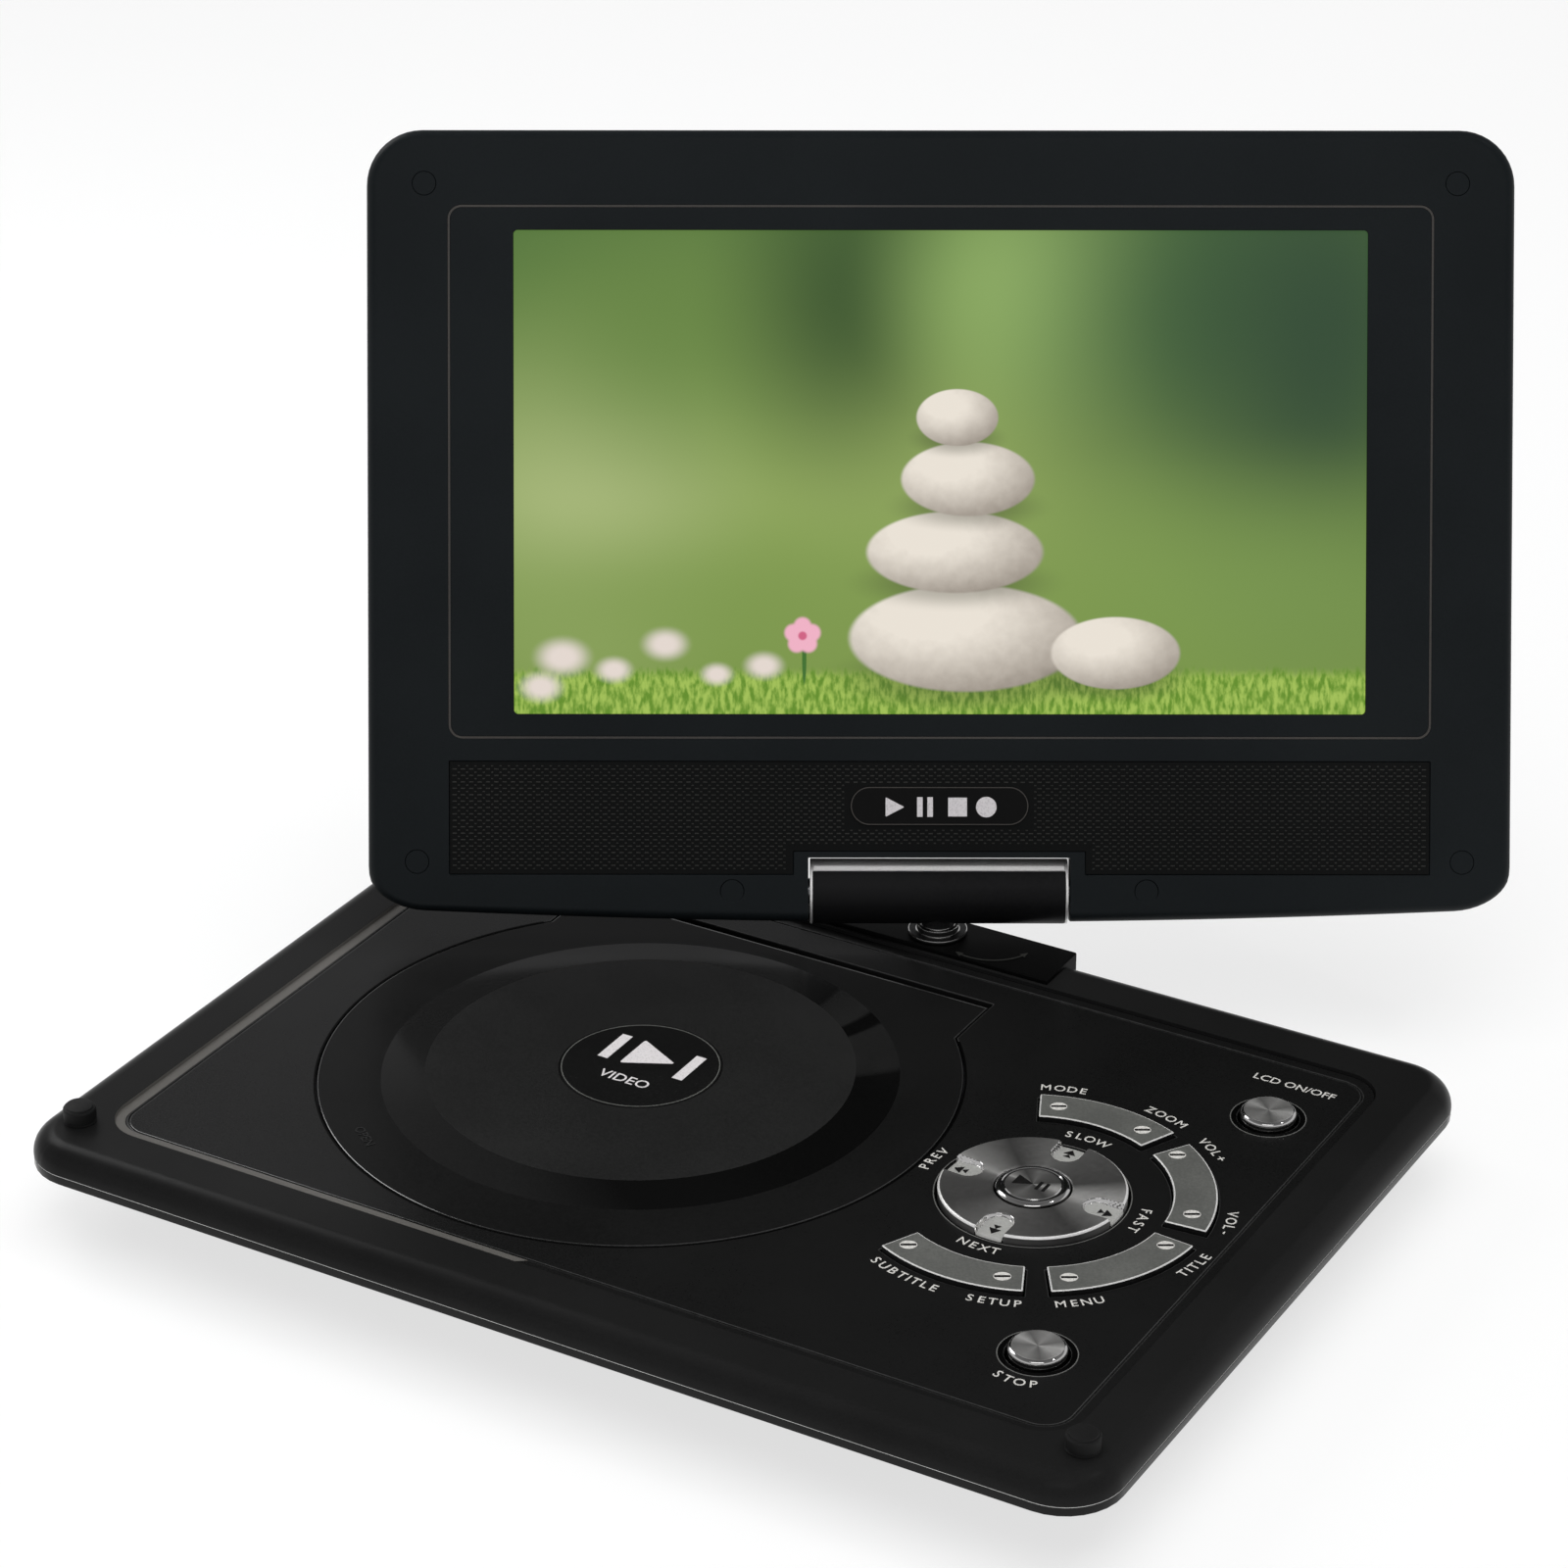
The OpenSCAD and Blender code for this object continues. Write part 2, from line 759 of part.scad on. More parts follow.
module round_button(p) {
  color("silver") translate([p[0], p[1], 0]) {
    translate([0, 0, cap_under]) cylinder(r = button_r, h = button_top - 0.7 - cap_under);
    translate([0, 0, button_top - 0.7 - e])
      cylinder(r1 = button_r, r2 = button_r - cap_edge, h = 0.7);
  }
}

module stop_button() {
  round_button(stop_at);
}

module screen_button() {
  round_button(screen_at);
}

// ---- hinge ----

module swivel_post() {
  color("silver") translate([0, hinge_y, 0]) {
    translate([0, 0, 18.8]) cylinder(r = post_r, h = 14.2);
    translate([0, 0, platform_z + 0.3]) cylinder(r = 7, h = 0.8);
    translate([0, 0, platform_z + 1]) cylinder(r = 5, h = 1.6);
  }
}

module swivel_washer() {
  color("silver") translate([0, hinge_y, 19]) difference() {
    cylinder(r = 5.3, h = 1.4);
    translate([0, 0, -1]) cylinder(r = post_r + snug, h = 4);
  }
}

module hinge_barrel() {
  color("silver") on_swivel() difference() {
    rod_x(barrel_r, -barrel_l / 2, barrel_l / 2);
    rotate([0, 90, 0]) rotate([0, 0, cover_from - 0.3]) rotate_extrude(angle = cover_sweep + 0.6)
      translate([barrel_r - cover_t - run, -barrel_l / 2 + 0.6]) square([2, barrel_l - 1.2]);
    rotate([90, 0, 90]) linear_extrude(barrel_l - 1.6, center = true)
      polygon([strip_low, strip_low + 3 * [cos(strip_slope), sin(strip_slope)], [-4, 9], [-4, 6.42]]);
    for (side = [-1, 1]) translate([side * (barrel_l / 2 - 4), 0, 0]) rod_x(shaft_r + snug, -6, 6);
    translate([0, 0, -10]) cylinder(r = post_r + snug, h = 10);
  }
}

module hinge_cover() {
  color([0.02, 0.02, 0.02]) on_swivel() difference() {
    rotate([0, 90, 0]) rotate([0, 0, cover_from]) rotate_extrude(angle = cover_sweep)
      translate([barrel_r - cover_t, -barrel_l / 2 + 0.65]) square([cover_t, barrel_l - 1.3]);
    translate([0, 0, -10]) cylinder(r = 5.3, h = 8);
  }
}

module tilt_shafts() {
  color("silver") on_swivel() for (side = [-1, 1])
    rod_x(shaft_r, side * shaft_at - shaft_l / 2, side * shaft_at + shaft_l / 2);
}

// ---- lid ----

// The lid's outline, less the notch that holds the hinge barrel.
module lid_cavity_2d(inset) {
  difference() {
    translate([0, lid_v]) plate_2d(lid_w - 2 * inset, lid_h - 2 * inset, lid_r - inset);
    translate([-notch_half - inset, -50]) square([2 * (notch_half + inset), 50 + notch_top + inset]);
  }
}

module notch_cut() {
  box([-notch_half, -lid_drop - 5, -20], [notch_half, notch_top, 20]);
  rod_x(shaft_r + 0.4, -notch_half - 4, notch_half + 4);
}

module bezel_bosses(r) {
  for (p = cover_spots) translate([p[0], p[1], 0]) cylinder(r = r, h = half_t - skin + e);
}

module grille_2d(gap) {
  difference() {
    translate([-grille_half + gap, grille_low + gap])
      square([2 * (grille_half - gap), grille_high - grille_low - 2 * gap]);
    translate([-grille_notch - gap, -20]) square([2 * (grille_notch + gap), 20 + 9.6 + gap]);
  }
}

module lid_bezel() {
  color([0.09, 0.11, 0.12]) on_lid() difference() {
    union() {
      difference() {
        translate([0, lid_v, 0]) rolled_slab(lid_w, lid_h, lid_r, 0, half_t, front_roll);
        layer(-1, half_t - skin) lid_cavity_2d(lid_in);
      }
      bezel_bosses(4.2);
    }
    notch_cut();
    // picture window, and a pocket for the panel behind it
    translate([0, picture_v, 0]) layer(0, half_t + 1) plate_2d(picture_w + 0.6, picture_h + 0.6, 1);
    translate([0, picture_v, (half_t - 0.9) / 2])
      cube([2 * panel_half[0] + 0.6, 2 * panel_half[1] + 0.6, half_t - 0.9], center = true);
    // fine line around the picture
    translate([0, picture_v, 0]) layer(half_t - 0.3, half_t + 1) difference() {
      plate_2d(line_w + 0.6, line_h + 0.6, line_r + 0.3);
      plate_2d(line_w - 0.6, line_h - 0.6, line_r - 0.3);
    }
    layer(half_t - 0.8, half_t + 1) grille_2d(0);
    // sound openings behind the grille
    for (side = [-1, 1]) translate([side * speaker_x - 18, 10, 0]) cube([36, 15, half_t]);
    for (p = cover_spots) translate([p[0], p[1], -1]) {
      cylinder(r = 1.5, h = 10);
      translate([0, 0, lid_head_z]) cylinder(r = cover_r + 0.1, h = 5);
    }
  }
}

module lid_back_cover() {
  color([0.05, 0.05, 0.05]) on_lid() difference() {
    union() {
      difference() {
        translate([0, lid_v, 0]) mirror([0, 0, 1])
          rolled_slab(lid_w, lid_h, lid_r, 0, half_t, back_roll);
        layer(-half_t + skin, 1) lid_cavity_2d(lid_in);
      }
      for (p = cover_spots) translate([p[0], p[1], -half_t + skin - e]) cylinder(r = 3.6, h = half_t - skin);
    }
    notch_cut();
    for (p = cover_spots) translate([p[0], p[1], -4]) cylinder(r = 1.3, h = 10);
  }
}

module hinge_brackets() {
  color("silver") on_lid() difference() {
    for (side = [-1, 1]) translate([side * 38 - 5, -4.5, -5]) cube([10, 18.5, 10]);
    rod_x(shaft_r + run, -60, 60);
  }
}

module lcd_panel() {
  color([0.3, 0.5, 0.3]) on_lid() translate([0, picture_v, 1.6])
    box([-panel_half[0], -panel_half[1], 0], [panel_half[0], panel_half[1], 5]);
}

module backlight() {
  color("white") on_lid() translate([0, picture_v, -0.4])
    box([-light_half[0], -light_half[1], 0], [light_half[0], light_half[1], 2]);
}

module lid_board() {
  color([0.05, 0.3, 0.15]) on_lid() {
    translate([-50, 55, -3.4]) cube([100, 60, 1.4]);
    translate([-20, 70, -4.6]) cube([16, 16, 1.3]);
    translate([15, 75, -4.6]) cube([24, 8, 1.3]);
  }
}

module speakers() {
  color([0.15, 0.15, 0.15]) on_lid() for (side = [-1, 1])
    translate([side * speaker_x, speaker_v, 0]) box([-25, -11, -3], [25, 11, half_t - skin]);
}

module speaker_grille() {
  color([0.08, 0.09, 0.09]) on_lid() difference() {
    layer(half_t - 0.8, half_t - 0.15) grille_2d(0.15);
    translate([0, badge_v, 0]) layer(0, half_t + 1) badge_2d(0.1);
  }
}

module badge_2d(gap) {
  translate([-badge_half, -badge_r - gap]) square([2 * badge_half, 2 * (badge_r + gap)]);
  for (side = [-1, 1]) translate([side * badge_half, 0]) circle(r = badge_r + gap);
}

module badge_plate() {
  color([0.1, 0.11, 0.12]) on_lid() translate([0, badge_v, 0])
    layer(half_t - 0.8, half_t + 0.3) badge_2d(0);
}

module lid_screws() {
  color("gray") on_lid() for (p = cover_spots) translate([p[0], p[1], 0]) difference() {
    union() {
      translate([0, 0, lid_head_z - e]) cylinder(r = cover_r - 0.3, h = 0.6);
      translate([0, 0, -3]) cylinder(r = 1.25, h = 9.5);
    }
    for (a = [0, 90]) rotate([0, 0, a]) box([-1.2, -0.25, 6.5], [1.2, 0.25, 8]);
  }
}

module screw_covers() {
  color([0.08, 0.1, 0.11]) on_lid() for (p = cover_spots)
    translate([p[0], p[1], half_t - 0.65]) cylinder(r = cover_r, h = 0.6);
}

top_cover();
bottom_cover();
hinge_platform();
rubber_bumpers();
rubber_feet();
base_screws();
disc_tray();
spindle_motor();
sled_rails();
sled_motor();
lead_screw();
optical_pickup();
pickup_lens();
door_latch();
main_board();
key_board();
tact_switches();
battery_pack();
usb_socket();
card_slot();
headphone_jack();
av_jack();
dc_jack();
power_switch_body();
power_switch_knob();
disc_door();
door_medallion();
turntable();
turntable_mat();
nav_wheel();
wheel_carrier();
play_button();
mode_key();
volume_key();
menu_key();
setup_key();
stop_button();
screen_button();
swivel_post();
swivel_washer();
hinge_barrel();
hinge_cover();
tilt_shafts();
lid_bezel();
lid_back_cover();
hinge_brackets();
lcd_panel();
backlight();
lid_board();
speakers();
speaker_grille();
badge_plate();
lid_screws();
screw_covers();
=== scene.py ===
import math

import bmesh
import bpy
from mathutils import Matrix, Vector

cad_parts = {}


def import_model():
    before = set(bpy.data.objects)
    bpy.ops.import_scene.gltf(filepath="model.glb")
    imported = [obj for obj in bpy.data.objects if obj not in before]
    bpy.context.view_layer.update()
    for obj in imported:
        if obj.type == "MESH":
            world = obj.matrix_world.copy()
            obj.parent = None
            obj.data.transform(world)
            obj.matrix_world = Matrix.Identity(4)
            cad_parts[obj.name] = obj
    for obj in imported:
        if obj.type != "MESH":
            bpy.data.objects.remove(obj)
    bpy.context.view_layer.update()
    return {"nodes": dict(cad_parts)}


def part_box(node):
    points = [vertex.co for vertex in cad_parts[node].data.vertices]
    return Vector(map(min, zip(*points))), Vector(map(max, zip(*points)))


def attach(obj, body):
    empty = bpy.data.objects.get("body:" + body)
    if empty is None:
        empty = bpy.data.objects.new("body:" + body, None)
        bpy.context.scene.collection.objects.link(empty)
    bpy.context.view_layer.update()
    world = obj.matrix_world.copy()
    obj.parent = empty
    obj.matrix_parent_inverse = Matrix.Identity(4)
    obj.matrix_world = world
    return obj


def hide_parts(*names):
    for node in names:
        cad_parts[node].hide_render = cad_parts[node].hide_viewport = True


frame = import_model()

# ---- places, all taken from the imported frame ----

MM = 0.001
LEAN = 25.0
SWING = 30.0


def centre(node):
    low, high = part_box(node)
    return (low + high) / 2


def top_of(node):
    """The height of a node's highest point in millimetres."""
    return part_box(node)[1].z / MM


def low_of(node):
    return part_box(node)[0].z / MM


def place_at(node):
    """Millimetres from a node's middle on the floor, as world places."""
    spot = centre(node)
    return Matrix.Translation((spot.x, spot.y, 0)) @ Matrix.Scale(MM, 4)


def on_circle(r, a, cx=0.0, cy=0.0):
    return cx + r * math.cos(a), cy + r * math.sin(a)


HINGE = Vector((centre("swivel_post").x, centre("swivel_post").y, centre("tilt_shafts").z))
WORLD = Matrix.Scale(MM, 4)
DISC = place_at("door_medallion")
WHEEL = place_at("nav_wheel")
STOP = place_at("stop_button")
SCREEN = place_at("screen_button")
SWIVEL = Matrix.Translation(HINGE) @ Matrix.Rotation(math.radians(SWING), 4, "Z") @ Matrix.Scale(MM, 4)
LID = SWIVEL @ Matrix.Rotation(math.radians(90 - LEAN), 4, "X")
LID_RIGHT = (LID.to_3x3() @ Vector((1, 0, 0))).normalized()
LID_UP = (LID.to_3x3() @ Vector((0, 1, 0))).normalized()
DECK_Z = 24.0
LID_FRONT = 7.5
PICTURE_V = 98.0


# ---- node helpers ----

def linear(r, g, b):
    """A 0-255 display colour as linear light."""
    channels = []
    for c in (r, g, b):
        c = c / 255
        channels.append(c / 12.92 if c <= 0.04045 else ((c + 0.055) / 1.055) ** 2.4)
    return (*channels, 1.0)


def shade(tone):
    """A display tone as linear light: one grey level, or red, green and blue."""
    return linear(*tone) if isinstance(tone, tuple) else linear(tone, tone, tone)


class Tree:
    """Short calls for building a node tree."""

    def __init__(self, material):
        self.tree = material.node_tree
        self.out = self.tree.nodes.get("Principled BSDF")

    def feed(self, socket, value):
        if isinstance(value, bpy.types.NodeSocket):
            self.tree.links.new(value, socket)
        else:
            socket.default_value = value

    def node(self, kind, **settings):
        n = self.tree.nodes.new(kind)
        for key, value in settings.items():
            setattr(n, key, value)
        return n

    def math(self, operation, a, b=0.0, clamp=False):
        n = self.node("ShaderNodeMath", operation=operation, use_clamp=clamp)
        self.feed(n.inputs[0], a)
        self.feed(n.inputs[1], b)
        return n.outputs[0]

    def vector(self, operation, a, b):
        n = self.node("ShaderNodeVectorMath", operation=operation)
        self.feed(n.inputs[0], a)
        self.feed(n.inputs[1], b)
        return n.outputs["Value" if operation in ("DOT_PRODUCT", "LENGTH") else "Vector"]

    def mix(self, factor, a, b):
        n = self.node("ShaderNodeMix", data_type="RGBA")
        self.feed(n.inputs[0], factor)
        self.feed(n.inputs[6], a)
        self.feed(n.inputs[7], b)
        return n.outputs[2]

    def remap(self, value, low, high, to_low, to_high):
        n = self.node("ShaderNodeMapRange", interpolation_type="SMOOTHSTEP")
        self.feed(n.inputs[0], value)
        for i, v in enumerate((low, high, to_low, to_high)):
            n.inputs[1 + i].default_value = v
        return n.outputs[0]

    def noise(self, where, scale, detail=3.0, stretch=None):
        n = self.node("ShaderNodeTexNoise")
        if stretch:
            where = self.vector("MULTIPLY", where, stretch)
        self.feed(n.inputs["Vector"], where)
        n.inputs["Scale"].default_value = scale
        n.inputs["Detail"].default_value = detail
        return n.outputs["Fac"]

    def ramp(self, value, stops):
        n = self.node("ShaderNodeValToRGB")
        self.feed(n.inputs[0], value)
        ramp = n.color_ramp
        while len(ramp.elements) < len(stops):
            ramp.elements.new(0.5)
        for element, (at, tone) in zip(ramp.elements, stops):
            element.position = at
            element.color = (tone, tone, tone, 1.0)
        return n.outputs[0]

    def coords(self):
        return self.node("ShaderNodeTexCoord").outputs["Object"]

    def bump(self, height, strength, distance):
        n = self.node("ShaderNodeBump")
        n.inputs["Strength"].default_value = strength
        n.inputs["Distance"].default_value = distance
        self.feed(n.inputs["Height"], height)
        self.feed(self.out.inputs["Normal"], n.outputs[0])

    def set(self, **values):
        for key, value in values.items():
            self.feed(self.out.inputs[key.replace("_", " ")], value)


def material(name):
    m = bpy.data.materials.new(name)
    m.use_nodes = True
    return m, Tree(m)


def moulded(name, dark, light, rough, specular, grain=2600, depth=0.00002, blotch=22, metallic=0.0):
    """Moulded or cast surface: slow tone drift, fine grain in tone, roughness and height."""
    m, t = material(name)
    where = t.coords()
    fine = t.noise(where, grain, 2.0)
    slow = t.noise(where, blotch, 4.0)
    tone = t.math("ADD", t.math("MULTIPLY", fine, 0.45), t.math("MULTIPLY", slow, 0.55))
    t.set(Base_Color=t.mix(t.remap(tone, 0.36, 0.64, 0.0, 1.0), shade(dark), shade(light)))
    t.set(Roughness=t.remap(t.math("ADD", fine, slow), 0.7, 1.3, *rough))
    t.set(Specular_IOR_Level=specular, Metallic=metallic)
    t.bump(fine, 0.25, depth)
    return m


RING_PITCH = 0.00022


def spun(name, spot, tones):
    """Metal turned on a lathe: fine rings, with sectors of painted highlight and painted dark reflection
    round the centre.
    """
    m, t = material(name)
    where = t.vector("SUBTRACT", t.coords(), (spot.x, spot.y, 0.0))
    sector = t.node("ShaderNodeTexGradient", gradient_type="RADIAL")
    t.feed(sector.inputs[0], where)
    # painted highlights and reflections: the base colour brightens and darkens by direction round the
    # centre
    tone = t.ramp(sector.outputs["Fac"], tones)
    rings = t.node("ShaderNodeTexWave", wave_type="RINGS", rings_direction="Z")
    t.feed(rings.inputs["Vector"], where)
    rings.inputs["Scale"].default_value = 2 * math.pi / RING_PITCH / 20
    rings.inputs["Distortion"].default_value = 0.4
    wear = t.noise(where, 900, 3.0)
    grain = t.remap(t.math("ADD", rings.outputs["Fac"], wear), 0.3, 1.7, 0.86, 1.1)
    t.set(Base_Color=t.vector("MULTIPLY", tone, t.vector("MULTIPLY", (1.0, 0.985, 0.97), grain)))
    t.set(Roughness=t.remap(wear, 0.3, 0.7, 0.28, 0.4))
    t.set(Metallic=0.75)
    t.bump(rings.outputs["Fac"], 0.12, 0.00001)
    return m


def glossy_slope(name, spot, tones, twist):
    """Polished slope of the door with painted reflections: dark and light sectors round its centre,
    slanted by twist.
    """
    m, t = material(name)
    where = t.vector("SUBTRACT", t.coords(), (spot.x, spot.y, 0.0))
    flat = t.vector("MULTIPLY", where, (1.0, 1.0, 0.0))
    reach = t.vector("LENGTH", flat, (0.0, 0.0, 0.0))
    sector = t.node("ShaderNodeTexGradient", gradient_type="RADIAL")
    t.feed(sector.inputs[0], flat)
    slant = t.math("MULTIPLY", t.math("SUBTRACT", reach, RING_MID * MM), twist / (360 * MM))
    # painted reflection: base colour darker and lighter by direction round the door's centre
    tone = t.ramp(t.math("SUBTRACT", sector.outputs["Fac"], slant), tones)
    fine = t.noise(where, 1600, 3.0)
    t.set(Base_Color=t.vector("MULTIPLY", tone, t.remap(fine, 0.3, 0.7, 0.92, 1.08)))
    t.set(Roughness=t.remap(fine, 0.3, 0.7, 0.14, 0.2), Specular_IOR_Level=0.06)
    t.bump(fine, 0.1, 0.000002)
    return m


def bright_metal(name, tone, rough):
    """Plated or turned metal with fine scratches."""
    m, t = material(name)
    where = t.coords()
    lines = t.noise(where, 1800, 3.0, stretch=(1.0, 0.12, 1.0))
    smear = t.noise(where, 120, 4.0)
    t.set(Base_Color=t.mix(smear, (*[c * 0.85 for c in tone], 1.0), (*tone, 1.0)))
    t.set(Roughness=t.remap(t.math("ADD", lines, smear), 0.7, 1.3, rough, rough + 0.08))
    t.set(Metallic=1.0)
    t.bump(lines, 0.05, 0.00001)
    return m


def ink(name, tone, worn):
    """Screen print: an even film, slightly thin in places."""
    m, t = material(name)
    thin = t.noise(t.coords(), 2200, 3.0)
    t.set(Base_Color=t.mix(t.remap(thin, 0.45, 0.75, 0.0, 1.0), shade(tone), shade(worn)))
    t.set(Roughness=t.remap(thin, 0.3, 0.7, 0.45, 0.6), Specular_IOR_Level=0.25)
    t.bump(thin, 0.08, 0.00001)
    return m


def board(name):
    """Circuit board: solder mask with buried tracks and bright pads."""
    m, t = material(name)
    where = t.coords()
    cells = t.node("ShaderNodeTexVoronoi", distance="MANHATTAN")
    cells.inputs["Scale"].default_value = 420
    t.feed(cells.inputs["Vector"], where)
    tracks = t.noise(where, 300, 1.0, stretch=(1.0, 0.15, 1.0))
    mask = t.mix(t.remap(tracks, 0.48, 0.52, 0.0, 1.0), linear(8, 62, 34), linear(20, 92, 54))
    pads = t.remap(cells.outputs["Distance"], 0.12, 0.16, 1.0, 0.0)
    t.set(Base_Color=t.mix(pads, mask, linear(180, 170, 140)))
    t.set(Roughness=t.remap(tracks, 0.3, 0.7, 0.3, 0.5))
    t.bump(tracks, 0.2, 0.00003)
    return m


def ellipse_blob(t, spot, at, radii, soft):
    """1 inside an ellipse in the picture, falling to 0 over its soft edge."""
    offset = t.vector("SUBTRACT", spot, (at[0], at[1], 0.0))
    scaled = t.vector("MULTIPLY", offset, (1 / radii[0], 1 / radii[1], 0.0))
    return t.remap(t.vector("LENGTH", scaled, (0.0, 0.0, 0.0)), 1.0 - soft, 1.0 + soft, 1.0, 0.0)


# the picture, in millimetres from its middle
# each soft light is (place, half sizes, softness, display colour, share)
GLOWS = [
    ((-30, 4), (75, 34), 0.95, (150, 172, 96), 0.75),
    ((-84, -8), (26, 30), 0.95, (176, 190, 130), 0.7),
    ((-62, 34), (34, 26), 0.95, (96, 128, 58), 0.8),
    ((-22, 40), (20, 30), 0.95, (44, 74, 30), 0.85),
    ((22, 44), (24, 22), 0.95, (150, 182, 104), 0.8),
    ((58, 36), (30, 34), 0.95, (54, 88, 50), 0.85),
    ((90, 30), (26, 50), 0.95, (38, 66, 44), 0.9),
    ((80, -26), (44, 20), 0.95, (120, 150, 76), 0.7),
    ((-60, -30), (60, 14), 0.95, (120, 148, 70), 0.7),
]
# each stone is (place, half sizes), each blossom (x, y, half size)
STONES = [
    ((6, -38.5), (27, 12.5)),
    ((3.5, -18.5), (20.5, 9.5)),
    ((6.5, -1.5), (15.5, 8.6)),
    ((4.0, 12.8), (9.5, 6.6)),
    ((41, -42), (15, 8.4)),
]
BLOSSOMS = [(-88, -43, 5), (-76, -46, 3.4), (-64, -40, 4.2), (-52, -47, 3), (-41, -45, 3.6), (-93, -50, 4)]
FLOWER = (-32.0, -38.0)


def picture_material():
    """The picture on the screen: a blurred meadow, a lawn, stacked stones and a small flower."""
    m, t = material("screen_picture")
    spot, v = picture_spot(t)
    colour = meadow(t, spot, v)
    colour = stones(t, spot, colour)
    colour = flower(t, spot, colour)
    cell = t.noise(spot, 14.0, 1.0)
    t.set(Base_Color=(0.01, 0.01, 0.01, 1.0), Emission_Color=colour, Emission_Strength=1.0)
    t.set(Roughness=t.remap(cell, 0.3, 0.7, 0.22, 0.3), Specular_IOR_Level=0.2)
    return m


def picture_spot(t):
    """The place in the picture in millimetres, and its height alone."""
    origin = LID @ Vector((0, PICTURE_V, 0))
    rel = t.vector("SUBTRACT", t.coords(), tuple(origin))
    u = t.math("MULTIPLY", t.vector("DOT_PRODUCT", rel, tuple(LID_RIGHT)), 1 / MM)
    v = t.math("MULTIPLY", t.vector("DOT_PRODUCT", rel, tuple(LID_UP)), 1 / MM)
    join = t.node("ShaderNodeCombineXYZ")
    t.feed(join.inputs[0], u)
    t.feed(join.inputs[1], v)
    return join.outputs[0], v


def meadow(t, spot, v):
    """Blurred greens with a lawn along the foot and pale blossoms in it."""
    colour = t.mix(t.remap(v, -50.0, 56.0, 0.0, 1.0), linear(118, 146, 66), linear(78, 112, 52))
    for at, radii, soft, tone, share in GLOWS:
        glow = t.math("MULTIPLY", ellipse_blob(t, spot, at, radii, soft), share)
        colour = t.mix(glow, colour, linear(*tone))
    blades = t.noise(spot, 0.9, 4.0, stretch=(1.0, 0.35, 1.0))
    lawn = t.mix(t.remap(blades, 0.35, 0.65, 0.0, 1.0), linear(96, 140, 34), linear(160, 190, 84))
    edge = t.math("ADD", v, t.math("MULTIPLY", blades, 5.0))
    colour = t.mix(t.remap(edge, -45.5, -42.5, 1.0, 0.0), colour, lawn)
    for x, y, r in BLOSSOMS:
        colour = t.mix(ellipse_blob(t, spot, (x, y), (r, r * 0.7), 0.6), colour, linear(226, 214, 206))
    return colour


def stones(t, spot, colour):
    """Smooth stones, lit from the upper left, each with a soft shadow under it."""
    mottle = t.noise(spot, 0.35, 5.0)
    for (x, y), (w, h) in STONES:
        shadow = ellipse_blob(t, spot, (x, y - h * 0.75), (w * 0.9, h * 0.5), 0.5)
        colour = t.mix(t.math("MULTIPLY", shadow, 0.45), colour, linear(52, 60, 34))
        lit = ellipse_blob(t, spot, (x - w * 0.3, y + h * 0.45), (w, h), 0.95)
        lit = t.math("ADD", lit, t.math("MULTIPLY", mottle, 0.25), clamp=True)
        stone = t.mix(lit, linear(116, 104, 92), linear(232, 224, 212))
        colour = t.mix(ellipse_blob(t, spot, (x, y), (w, h), 0.035), colour, stone)
    return colour


def flower(t, spot, colour):
    """A stem, five petals and their middle."""
    stem = ellipse_blob(t, spot, (FLOWER[0] + 0.4, FLOWER[1] - 5.5), (0.5, 5.6), 0.2)
    colour = t.mix(stem, colour, linear(60, 110, 40))
    for k in range(5):
        petal = on_circle(2.3, math.radians(90 + 72 * k), *FLOWER)
        colour = t.mix(ellipse_blob(t, spot, petal, (2.0, 2.0), 0.25), colour, linear(238, 176, 196))
    return t.mix(ellipse_blob(t, spot, FLOWER, (1.0, 1.0), 0.3), colour, linear(206, 96, 130))


# ---- materials ----

# (share of a turn, tone) round the wheel and the round buttons: painted highlights and dark reflections of
# turned metal
SHEEN_SECTORS = [(0.0, 0.36), (0.05, 0.18), (0.13, 0.16), (0.22, 0.34), (0.29, 0.24), (0.40, 0.14),
    (0.47, 0.42), (0.51, 0.92), (0.545, 0.80), (0.60, 0.16), (0.70, 0.22), (0.78, 0.36), (0.87, 0.14),
    (0.95, 0.50), (0.98, 0.84), (1.0, 0.36)]
BUTTON_SHEEN_SECTORS = [(0.0, 0.66), (0.06, 0.34), (0.22, 0.56), (0.34, 0.30), (0.48, 0.82), (0.54, 0.92),
    (0.62, 0.34), (0.74, 0.60), (0.88, 0.30), (0.97, 0.90), (1.0, 0.66)]


def azimuth_tones(stops):
    """(degrees, display tone) stops as ramp stops."""
    return [((a + 180) / 360, shade(tone)[0]) for a, tone in stops]


RING_MID = 54.0
RING_TWIST = 0.6
# painted reflection on the door's sloped ring: (degrees, display tone) stops round its centre
RING_REFLECTION_TONES = azimuth_tones([(-180, 28), (-90, 28), (-80, 24), (-62, 11), (27.5, 11), (28.5, 28), (48, 32),
    (49, 11), (53.5, 11), (55, 34), (66, 30), (67, 17), (75, 22), (82, 30), (98, 28), (108, 16), (126, 16),
    (138, 24), (150, 28), (180, 28)])

